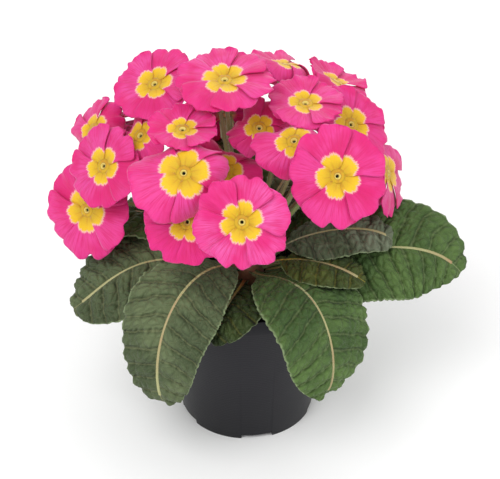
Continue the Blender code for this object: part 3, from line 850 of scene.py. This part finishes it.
def make_petals(bloom, bend):
    centre, right, top, face = bloom_axes(bloom)
    points, maps, faces, first = [], [], [], 0
    for index in range(bloom.petals):
        grid, label = petal_grid(bloom, index, bend)
        points.append(grid.reshape(-1, 3))
        maps.append(label.reshape(-1, 2))
        faces += grid_faces(PETAL_ALONG + 1, PETAL_ACROSS + 1, first)
        first += grid.shape[0] * grid.shape[1]
    around = np.arange(TUBE_SIDES) * 2 * math.pi / TUBE_SIDES
    spokes = np.cos(around)[:, None] * top + np.sin(around)[:, None] * right
    for radius, depth, share in reversed(TUBE):
        points.append(centre + max(radius, 0.05) * MM * spokes - depth * MM * face)
        maps.append(np.stack([around / (2 * math.pi), np.full(TUBE_SIDES, share)], axis=-1))
    faces += grid_faces(len(TUBE), TUBE_SIDES, first, closed=True)
    mesh = mapped_mesh("petals_" + bloom.name, np.concatenate(points), faces, petal=np.concatenate(maps))
    obj = new_object("petals_" + bloom.name, mesh, petal_material("petal_" + bloom.name, bloom.pale))
    mesh.materials.append(petal_back)
    thicken(obj, PETAL_THICKNESS, 1)
    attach(obj, "root")
    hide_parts("bloom_" + bloom.name)
    return len(obj.data.polygons)


petal_faces = [make_petals(bloom, bends[bloom.name]) for bloom in BLOOMS]
print(f"petals: {sum(petal_faces)} faces in {len(petal_faces)} blooms")

# %% [markdown]
# ## Stalks and the crown
#
# Every flower stalk rises from the short crown in the middle. A stalk is round, pale green, reddish
# low down near the crown, and covered in short soft hairs. A tube that follows a path is what
# Curve to Mesh makes, so the paths are drawn as splines and one tree turns them all into tubes.

# %% Stalk material


def downy(tree, shader, colour, speckle):
    """A matt skin with fine relief and the sheen of short hairs."""
    plug(tree, shader, Base_Color=colour, Roughness=0.6)
    plug(tree, shader, Normal=bump(tree, speckle, 0.4, 0.0003))
    plug(tree, shader, Sheen_Weight=0.3, Sheen_Roughness=0.4)


stalk_material, tree, shader = new_material("stalk_skin")
speckle, patch = add_grain(tree, 1500, 60)
place = object_place(tree)
height = split(tree, place)["Z"]
colour = blend_colours(tree, ramp(tree, patch, 0.35, 0.65), (0.20, 0.26, 0.07), (0.26, 0.17, 0.09))
colour = tint(tree, colour, (0.30, 0.09, 0.06), ramp(tree, height, 0.105, 0.080))
colour = tint(tree, colour, (0.36, 0.38, 0.18), speckle, 0.35)
downy(tree, shader, colour, speckle)

# %% Draw the paths and make the tubes


def draw_paths(name, paths, radii):
    """One curve object with a spline for each path. radii are in metres at each point."""
    curve = bpy.data.curves.new(name, "CURVE")
    curve.dimensions = "3D"
    for path, radius in zip(paths, radii):
        spline = curve.splines.new("POLY")
        spline.points.add(len(path) - 1)
        spline.points.foreach_set("co", np.column_stack([path, np.ones(len(path))]).ravel())
        spline.points.foreach_set("radius", np.asarray(radius, float) / MM)
    return new_object(name, curve)


def tube_growth(name, finish, sides):
    """A tree that gives each spline a round skin, as thick as the spline's own radius."""
    tree, sockets = new_growth(name, ("Unit radius", 1 * MM))
    circle = node(
        tree, "GeometryNodeCurvePrimitiveCircle", {"Resolution": sides, "Radius": sockets["Unit radius"]}
    )
    skin = node(
        tree,
        "GeometryNodeCurveToMesh",
        {"Curve": sockets["Geometry"], "Profile Curve": circle.outputs[0], "Fill Caps": True},
    )
    smooth = node(tree, "GeometryNodeSetShadeSmooth", {0: skin.outputs[0]})
    end_growth(tree, smooth.outputs[0], finish)
    return tree


STALK_POINTS = 28
stalk_radii = 0.95 - 0.15 * np.linspace(0, 1, STALK_POINTS)
stalk_paths = [stalk_path(bloom, STALK_POINTS) for bloom in BLOOMS]
stalk_curves = draw_paths("flower_stalks", stalk_paths, [stalk_radii * MM] * len(stalk_paths))
stalks = grow(stalk_curves, tube_growth("stalk skin", stalk_material, 10), **{"Unit radius": 1 * MM})
outwards(stalks)
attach(stalks, "root")
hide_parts("crown_and_flower_stalks")
print(f"stalks: {len(stalks.data.polygons)} faces")

# %% Crown
CROWN_PROFILE = (
    (0, 89), (3.2, 88.6), (6.0, 87.4), (7.6, 85), (8, 81), (8, 64), (6.6, 60), (4, 58), (0, 58),
)
crown = turned("crown", [(r * MM, z * MM) for r, z in CROWN_PROFILE], 40, stalk_material)
crown.data.shade_smooth()
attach(crown, "root")
print(f"crown: {len(crown.data.polygons)} faces")

# %% [markdown]
# ## The calyces
#
# The calyx is the green cup round the flower's tube: five sepals fused along five raised ribs, each
# ending in a pointed tooth. It is a closed grid whose radius swells at the ribs and whose upper
# edge rises to the teeth.

# %% Calyx material
calyx_material, tree, shader = new_material("calyx_skin")
speckle, patch = add_grain(tree, 1600, 90)
along = own_map(tree, "calyx")
rib_line = maths(tree, "PINGPONG", along["X"], 0.5)
colour = blend_colours(tree, ramp(tree, rib_line, 0.0, 0.22), (0.13, 0.19, 0.05), (0.42, 0.50, 0.22))
colour = tint(tree, colour, (0.20, 0.27, 0.08), ramp(tree, along["Y"], 0.75, 1.0))
colour = tint(tree, colour, (0.30, 0.24, 0.10), patch, 0.3)
downy(tree, shader, colour, speckle)

# %% Build the calyces
CALYX_AROUND, CALYX_ALONG = 40, 14
CALYX_THICKNESS = 0.35 * MM


def calyx_grid(bloom):
    centre, right, top, face = bloom_axes(bloom)
    t, around = np.meshgrid(np.linspace(0, 1, CALYX_ALONG + 1), np.arange(CALYX_AROUND), indexing="ij")
    angle = math.radians(bloom.turn) + around * 2 * math.pi / CALYX_AROUND
    rib = np.abs(np.cos(2.5 * around * 2 * math.pi / CALYX_AROUND))
    edge = CALYX_TOP + CALYX_TOOTH * (1 - rib**1.5)
    bottom = CALYX_TOP + CALYX_LENGTH
    depth = bottom + (edge - bottom) * t
    swell = np.interp(t, (0, 0.08, 0.2, 0.5, 0.85, 1), (1.0, 2.3, 3.2, 3.3, 3.25, 3.7)) * MM
    radius = swell * (0.90 + 0.10 * rib)
    spoke = np.cos(angle)[..., None] * top + np.sin(angle)[..., None] * right
    points = centre + radius[..., None] * spoke - depth[..., None] * face
    label = np.stack([around * 5 / CALYX_AROUND, t], axis=-1)
    return points.reshape(-1, 3), label.reshape(-1, 2)


grids = [calyx_grid(bloom) for bloom in BLOOMS]
calyx_faces = []
for index, (points, label) in enumerate(grids):
    calyx_faces += grid_faces(CALYX_ALONG + 1, CALYX_AROUND, index * len(points), closed=True)
calyx_points, calyx_labels = (np.concatenate(part) for part in zip(*grids))
calyx_mesh = mapped_mesh("calyces", calyx_points, calyx_faces, calyx=calyx_labels)
calyces = new_object("calyces", calyx_mesh, calyx_material)
thicken(calyces, CALYX_THICKNESS)
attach(calyces, "root")
print(f"calyces: {len(calyces.data.polygons)} faces")

# %% [markdown]
# ## Leaf veins
#
# A primrose leaf has one strong midrib, side veins that leave it and arch towards the tip, and
# between them a net of fine veins. The blade bulges up between them all, which gives the leaf its
# quilted look. The relief and the paint have to agree, so one function writes the same vein field
# into the Geometry Nodes tree that raises the blade and into the shader group that colours it. Both
# read the blade's own map in millimetres.

# %% Vein field
SIDE_VEIN_GAP = 8.0
NET_SIZE = 3.4
BLADE_UNIT = 100.0


def vein_field(tree, place):
    """Distances in millimetres to the midrib, to the nearest side vein and to the net. place is in mm."""
    x, y, _ = split(tree, place)
    to_midrib = maths(tree, "ABSOLUTE", x)
    wander = times(tree, minus(tree, noise(tree, place, 0.07, 2), 0.5), 5.5)
    arch = times(tree, power(tree, to_midrib, 1.4), 0.16)
    other_half = times(tree, maths(tree, "LESS_THAN", x, 0.0), 0.5)
    run = plus(tree, minus(tree, y, arch), wander)
    phase = plus(tree, over(tree, run, SIDE_VEIN_GAP), other_half)
    to_side = times(tree, maths(tree, "PINGPONG", phase, 0.5), SIDE_VEIN_GAP * 0.9)
    net_place = {0: over(tree, x, NET_SIZE * 1.15), 1: over(tree, run, NET_SIZE)}
    stretched = node(tree, "ShaderNodeCombineXYZ", net_place)
    cells = node(
        tree,
        "ShaderNodeTexVoronoi",
        {"Vector": stretched.outputs[0], "Scale": 1.0},
        voronoi_dimensions="2D",
        feature="DISTANCE_TO_EDGE",
    )
    to_net = times(tree, cells.outputs["Distance"], NET_SIZE)
    return to_midrib, to_side, to_net


def in_millimetres(tree, blade_map):
    """The blade's map, which is stored in units of BLADE_UNIT millimetres."""
    sockets = {0: blade_map, 1: (BLADE_UNIT,) * 3}
    return node(tree, "ShaderNodeVectorMath", sockets, operation="MULTIPLY").outputs[0]


veins, veins_in, veins_out = new_group(
    "leaf veins",
    (("Net", "Float"),),
    (("Midrib", "Float"), ("Side", "Float"), ("Net", "Float"), ("Relief", "Float")),
)
blade_map = node(veins, "ShaderNodeUVMap", uv_map="blade").outputs[0]
to_midrib, to_side, to_net = vein_field(veins, in_millimetres(veins, blade_map))
leaf_map = own_map(veins, "share")
rib_width = minus(veins, 1.05, times(veins, leaf_map["Y"], 0.85))
midrib_mask = minus(veins, 1.0, ramp(veins, over(veins, to_midrib, rib_width), 0.65, 1.15))
side_mask = minus(veins, 1.0, ramp(veins, to_side, 0.15, 0.75))
net_mask = minus(veins, 1.0, ramp(veins, to_net, 0.05, 0.5))
net_mask = times(veins, net_mask, veins_in["Net"])
relief = plus(veins, ramp(veins, to_side, 0.1, 1.6), times(veins, ramp(veins, to_net, 0.0, 1.1), 0.8))
for value, label in ((midrib_mask, "Midrib"), (side_mask, "Side"), (net_mask, "Net"), (relief, "Relief")):
    veins.links.new(value, veins_out.inputs[label])
print("vein field ready")

# %% [markdown]
# Young leaves are fresh green, and old ones grey-green with a bloom of fine hairs. Their midribs
# run from cream to yellow, and are reddish at the foot. One function makes each of these from three
# colours.

# %% Leaf materials


def leaf_material(name, light, dark, rib, foot, net):
    """Colours for the blade, its darker tone, the midrib and its foot, and how much the fine net shows.
    The darker tone also paints shade towards the leaf's foot and along the sunken veins.
    """
    made, tree, shader = new_material(name)
    placed = node(tree, "ShaderNodeGroup", node_tree=veins)
    placed.inputs["Net"].default_value = net
    share = own_map(tree, "share")
    along = share["Y"]
    place = object_place(tree)
    patches = noise(tree, place, 38, 3, 0.6)
    hairs = noise(tree, place, 1400, 2, 0.6)
    colour = blend_colours(tree, ramp(tree, patches, 0.35, 0.68), dark, light)
    # Painted shade: the blade darkens towards its foot, where it lies under the blooms.
    colour = tint(tree, colour, dark, ramp(tree, along, 0.45, 0.1), 0.7)
    # Painted shade: the blade darkens along its sunken veins, below the raised puffs between them.
    painted_vein_shade = times(tree, minus(tree, 1.0, ramp(tree, placed.outputs["Relief"], 0.2, 1.6)), 0.6)
    colour = blend_colours(tree, painted_vein_shade, colour, [c * 0.45 for c in dark])
    pale = [(a + 2 * b) / 3 for a, b in zip(rib, light)]
    colour = tint(tree, colour, pale, placed.outputs["Net"], 0.08)
    colour = tint(tree, colour, pale, placed.outputs["Side"], 0.24)
    rib_colour = blend_colours(tree, ramp(tree, along, 0.05, 0.35), foot, rib)
    rib_share = minus(tree, 1.0, times(tree, ramp(tree, along, 0.35, 0.95), 0.65))
    rib_share = times(tree, placed.outputs["Midrib"], rib_share)
    colour = blend_colours(tree, rib_share, colour, rib_colour)
    colour = tint(tree, colour, (0.36, 0.42, 0.30), ramp(tree, hairs, 0.5, 0.75), 0.08)
    side = maths(tree, "ABSOLUTE", minus(tree, share["X"], 0.5))
    colour = tint(tree, colour, (0.30, 0.38, 0.20), ramp(tree, side, 0.478, 0.5), 0.6)
    height = plus(tree, placed.outputs["Relief"], times(tree, hairs, 0.25))
    plug(tree, shader, Base_Color=colour, Roughness=0.6, Specular_IOR_Level=0.16)
    plug(tree, shader, Normal=bump(tree, height, 0.7, 0.0010))
    plug(tree, shader, Sheen_Weight=0.04, Sheen_Roughness=0.5)
    return made


LEAF_PAINTS = (
    ("leaf_mid_green", (0.100, 0.172, 0.046), (0.046, 0.090, 0.024),
     (0.52, 0.56, 0.30), (0.30, 0.26, 0.10), 0.5),
    ("leaf_grey_green", (0.125, 0.160, 0.075), (0.060, 0.084, 0.038),
     (0.58, 0.54, 0.26), (0.42, 0.20, 0.08), 0.8),
    ("leaf_dark_green", (0.048, 0.074, 0.019), (0.018, 0.031, 0.008),
     (0.50, 0.42, 0.08), (0.42, 0.20, 0.06), 0.5),
    # This silver green is partly painted sheen: the light glancing off the hairs of the highest leaf is
    # laid into its colour.
    ("leaf_silver_green", (0.180, 0.210, 0.140), (0.060, 0.082, 0.040),
     (0.46, 0.48, 0.30), (0.30, 0.26, 0.12), 0.9),
    ("leaf_yellow_green", (0.105, 0.130, 0.024), (0.035, 0.055, 0.014),
     (0.62, 0.46, 0.07), (0.50, 0.24, 0.06), 0.5),
    ("leaf_underside", (0.190, 0.250, 0.110), (0.110, 0.155, 0.060),
     (0.50, 0.55, 0.30), (0.42, 0.30, 0.14), 1.0),
)
leaf_mid, leaf_grey, leaf_dark, leaf_painted_sheen, leaf_yellow, leaf_back = (
    leaf_material(*paints) for paints in LEAF_PAINTS
)
print("leaf materials ready")

# %% [markdown]
# ## The leaves
#
# Each leaf follows a smooth way from the crown, up and over the rim of the pot and down to its tip.
# The blade is a sheet of points on both sides of that way. It broadens from a winged foot, ends in
# a round tip, droops at its edges, and is cut into small round teeth. The Geometry Nodes tree then
# raises it between its veins.

# %% Leaf measures
LEAF_THICKNESS = 0.55 * MM
PETIOLE_WIDTH, EDGE_DROP = 4 * MM, 4 * MM
TOOTH_PITCH, TOOTH_DEPTH = 3.2 * MM, 0.75 * MM
LEAF_COLUMNS = 61
EDGE_RIPPLE = 0.9 * MM
MIDRIB_GROOVE, MIDRIB_WIDTH, MIDRIB_FADE = 0.9 * MM, 1.5 * MM, 0.7
SIDE_RELIEF, NET_RELIEF = 1.3 * MM, 0.7 * MM

Leaf = namedtuple("Leaf", "name width roll waist peak finish way")
LEAVES = (
    Leaf("front_left", 44, -8, 0.05, 0.46, leaf_grey,
         ((-4.7, -7.2, 83), (-15, -24, 96), (-30, -45, 95), (-38, -56, 80), (-38, -56, 43.5))),
    Leaf("front_right", 53, -8, 0.08, 0.55, leaf_mid,
         ((2.9, -8.1, 82.5), (13, -23, 90), (27, -40, 93), (37, -52, 78), (34, -54, 46))),
    Leaf("front_low", 34, 4, 0.1, 0.6, leaf_dark,
         ((-1, -8.6, 78), (-5, -27, 84), (-10, -43, 86), (-17, -53, 76))),
    Leaf("left", 50, -9, 0.1, 0.64, leaf_grey,
         ((-8, -3, 83), (-26, -8.5, 89), (-50, -15.5, 91.5), (-67, -21, 83), (-80, -24, 72.5))),
    Leaf("right", 50, 34, 0.15, 0.6, leaf_mid,
         ((8.6, -0.5, 78), (34, -8, 90), (62, -10, 97), (85, -8, 93), (100, -7, 80.5))),
    Leaf("right_upper", 30, 8, 0.2, 0.6, leaf_painted_sheen,
         ((8.5, -1.2, 85), (24, -8, 101), (42, -11, 108), (57, -12, 108), (67, -10, 101))),
    Leaf("right_low", 25, 2, 0.25, 0.55, leaf_yellow,
         ((6.9, -5.4, 84.5), (20, -16, 95), (40, -27.5, 99), (53.5, -31, 92.5))),
    Leaf("right_back", 50, 0, 0.15, 0.6, leaf_mid,
         ((7, 5, 78), (27, 18, 89), (55, 36, 91), (74, 48, 78), (80, 52, 62))),
    Leaf("back_right", 44, 0, 0.15, 0.6, leaf_grey,
         ((3, 8.1, 83), (13, 31, 98), (25, 55, 101), (31, 69, 90), (33, 74, 72))),
    Leaf("back", 50, 0, 0.15, 0.6, leaf_mid,
         ((-2, 8.3, 83), (-7, 34, 104), (-14, 61, 109), (-20, 79, 93), (-21, 83, 70))),
    Leaf("back_left", 46, 0, 0.15, 0.6, leaf_grey,
         ((-5.6, 6.6, 78), (-22, 25, 89), (-41, 48, 88), (-50, 59, 75), (-52, 62, 58))),
    Leaf("left_back", 44, 6, 0.15, 0.6, leaf_mid,
         ((-8.3, 2.4, 81), (-32, 11, 96), (-60, 22, 96), (-75, 29, 83), (-81, 32, 69))),
)
TIP_ROWS = 0.94 + 0.06 * np.sin(np.linspace(0, math.pi / 2, 14))[1:]
LEAF_ROWS = np.concatenate([np.linspace(0, 0.94, 100), TIP_ROWS])

# %% Leaf geometry


def blade_share(t, waist, peak):
    """The blade's width along the leaf, as a share of the full width."""
    rise = np.clip((t - waist) / (0.56 - waist), 0, 1)
    tip = np.sqrt(np.clip(1 - np.clip((t - peak) / (1.0005 - peak), 0, None) ** 2.2, 0, 1))
    return rise * (2 - rise) * tip


def leaf_way(leaf, t):
    """Places and directions on the midrib at shares t of its length."""
    way = np.array(leaf.way) * MM
    along = np.insert(np.cumsum(np.linalg.norm(np.diff(way, axis=0), axis=1)), 0, 0)
    fits = np.polyfit(along / along[-1], way, len(way) - 1)
    places = np.stack([np.polyval(fits[:, axis], t) for axis in range(3)], axis=1)
    ways = np.stack([np.polyval(np.polyder(fits[:, axis]), t) for axis in range(3)], axis=1)
    return places, ways / np.linalg.norm(ways, axis=1, keepdims=True)


def leaf_frame(leaf, t):
    """Places, ways, sides and normals along the midrib."""
    places, ways = leaf_way(leaf, t)
    level = places[-1] - places[0]
    level = np.array([-level[1], level[0], 0]) / math.hypot(level[0], level[1])
    side = level - (ways @ level)[:, None] * ways
    side /= np.linalg.norm(side, axis=1, keepdims=True)
    normal = np.cross(ways, side)
    roll = (math.radians(leaf.roll) * np.minimum(1, 2 * t))[:, None]
    rolled_side = side * np.cos(roll) + normal * np.sin(roll)
    return places, ways, rolled_side, normal * np.cos(roll) - side * np.sin(roll)


def leaf_grid(leaf):
    """The blade's points, its map in millimetres, and its map of shares across and along."""
    t = LEAF_ROWS
    places, ways, side, normal = leaf_frame(leaf, t)
    blade = blade_share(t, leaf.waist, leaf.peak)
    foot = PETIOLE_WIDTH / 2 * np.clip((1 - t) / 0.05, 0.3, 1)
    half = np.maximum(foot, leaf.width * MM / 2 * blade)[:, None]
    length = np.insert(np.cumsum(np.linalg.norm(np.diff(places, axis=0), axis=1)), 0, 0)[:, None]
    u = np.linspace(-1, 1, LEAF_COLUMNS)[None]
    tooth = np.abs(np.sin(math.pi * length / TOOTH_PITCH)) - 0.6
    across = u * half + np.sign(u) * np.abs(u) ** 7 * tooth * TOOTH_DEPTH * blade[:, None]
    lift = -EDGE_DROP * blade[:, None] * u * u
    ripple = EDGE_RIPPLE * np.sin(length / MM / 6.5 + 1.5 * np.sign(u)) * np.abs(u) ** 4
    lift = lift + ripple * blade[:, None]
    groove = np.exp(-((across / MIDRIB_WIDTH) ** 2)) * (1 - MIDRIB_FADE * t[:, None])
    lift = lift - MIDRIB_GROOVE * groove
    back = -0.12 * half * u * u
    points = (
        places[:, None]
        + side[:, None] * across[..., None]
        + normal[:, None] * lift[..., None]
        + ways[:, None] * back[..., None]
    )
    blade_mm = np.stack(np.broadcast_arrays(across / MM, length / MM), axis=-1) / BLADE_UNIT
    share = np.stack(np.broadcast_arrays(u * 0.5 + 0.5, t[:, None]), axis=-1)
    return points.reshape(-1, 3), blade_mm.reshape(-1, 2), share.reshape(-1, 2)


# %% Raise the blade between its veins
leaf_tree, sockets = new_growth(
    "leaf relief", ("Side relief", SIDE_RELIEF), ("Net relief", NET_RELIEF)
)


def named_map(tree, name):
    """A mesh's own map, as Geometry Nodes reads it."""
    kind = "GeometryNodeInputNamedAttribute"
    return node(tree, kind, {"Name": name}, data_type="FLOAT_VECTOR").outputs[0]


blade_map = named_map(leaf_tree, "blade")
to_midrib, to_side, to_net = vein_field(leaf_tree, in_millimetres(leaf_tree, blade_map))
along = split(leaf_tree, named_map(leaf_tree, "share"))["Y"]
blade_part = times(leaf_tree, ramp(leaf_tree, to_midrib, 0.5, 4.0), ramp(leaf_tree, along, 0.08, 0.3))
side_rise = times(leaf_tree, ramp(leaf_tree, to_side, 0.0, 2.6), sockets["Side relief"])
net_rise = times(leaf_tree, ramp(leaf_tree, to_net, 0.0, 1.2), sockets["Net relief"])
rise = times(leaf_tree, plus(leaf_tree, side_rise, net_rise), blade_part)
normal = node(leaf_tree, "GeometryNodeInputNormal").outputs[0]
offset = node(leaf_tree, "ShaderNodeVectorMath", {0: normal, "Scale": rise}, operation="SCALE").outputs[0]
moved = {"Geometry": sockets["Geometry"], "Offset": offset}
raised = node(leaf_tree, "GeometryNodeSetPosition", moved).outputs[0]
end_growth(leaf_tree, raised, leaf_mid)
leaf_paint = next(n for n in leaf_tree.nodes if n.bl_idname == "GeometryNodeSetMaterial")
print("leaf relief tree ready")


def make_leaf(leaf):
    points, blade, share = leaf_grid(leaf)
    faces = [face[::-1] for face in grid_faces(len(LEAF_ROWS), LEAF_COLUMNS)]
    name = "blade_" + leaf.name
    obj = new_object(name, mapped_mesh(name, points, faces, blade=blade, share=share), leaf.finish)
    leaf_paint.inputs["Material"].default_value = leaf.finish
    grow(obj, leaf_tree, **{"Side relief": SIDE_RELIEF, "Net relief": NET_RELIEF})
    obj.data.materials.append(leaf_back)
    thicken(obj, LEAF_THICKNESS, 1)
    obj.data.shade_smooth()
    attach(obj, "root")
    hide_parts("leaf_" + leaf.name)
    return len(obj.data.polygons)


leaf_faces = [make_leaf(leaf) for leaf in LEAVES]
print(f"leaves: {sum(leaf_faces)} faces in {len(leaf_faces)} blades")

# %% [markdown]
# The midrib stands out below the blade as a thick rib, and the leaf's own stalk is its lower end.
# It is one more tube along a path, thick at the crown and thin at the tip.

# %% Midribs below the blades
rib_material, tree, shader = new_material("midrib_skin")
speckle, patch = add_grain(tree, 1500, 45)
colour = blend_colours(tree, patch, (0.46, 0.48, 0.22), (0.34, 0.30, 0.14))
colour = tint(tree, colour, (0.42, 0.14, 0.09), ramp(tree, patch, 0.4, 0.7), 0.5)
plug(tree, shader, Base_Color=colour, Roughness=0.55)
plug(tree, shader, Normal=bump(tree, speckle, 0.4, 0.0003))


def rib_path(leaf, count=36):
    t = np.linspace(0, 0.93, count)
    places, ways, side, normal = leaf_frame(leaf, t)
    radius = (1.7 - 1.35 * t) * MM
    below = MIDRIB_GROOVE * (1 - MIDRIB_FADE * t) + radius * 0.55
    return places - normal * below[:, None], radius


rib_lines = [rib_path(leaf) for leaf in LEAVES]
rib_curves = draw_paths("midribs", [path for path, _ in rib_lines], [radius for _, radius in rib_lines])
ribs = grow(rib_curves, tube_growth("midrib skin", rib_material, 12), **{"Unit radius": 1 * MM})
outwards(ribs)
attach(ribs, "root")
print(f"midribs: {len(ribs.data.polygons)} faces")

# %% [markdown]
# ## Soft hairs
#
# Primrose stalks and calyces are downy. The hairs are thin three-sided cones that stand on points
# scattered over the skin, each turned to the surface's normal.

# %% Grow the hairs
HAIR_LENGTH, HAIR_RADIUS = 0.9 * MM, 0.045 * MM
# The piece that carries them, their name, and how many stand on each square metre.
DOWN = ((stalks, "stalk_hairs", 600000.0), (calyces, "calyx_hairs", 350000.0))
hair_material, tree, shader = new_material("stalk_hair")
speckle, patch = add_grain(tree, 300, 40)
hair_colour = blend_colours(tree, patch, (0.55, 0.58, 0.42), (0.72, 0.74, 0.62))
plug(tree, shader, Base_Color=hair_colour, Roughness=0.5)
hair_tree, sockets = new_growth(
    "soft hairs", ("Per square metre", 500000.0), ("Hair length", HAIR_LENGTH)
)
cone = node(
    hair_tree,
    "GeometryNodeMeshCone",
    {"Vertices": 3, "Radius Top": 0.0, "Radius Bottom": HAIR_RADIUS, "Depth": sockets["Hair length"]},
    fill_type="NONE",
).outputs[0]
dense = sockets["Per square metre"]
hairs = scatter(hair_tree, sockets["Geometry"], dense, (3, 9), cone, (0.5, 1.3))
end_growth(hair_tree, hairs, hair_material)
for source, name, density in DOWN:
    down = grow(new_object(name, source.data.copy()), hair_tree, **{"Per square metre": density})
    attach(down, "root")
    print(f"{name}: {len(down.data.polygons)} faces")
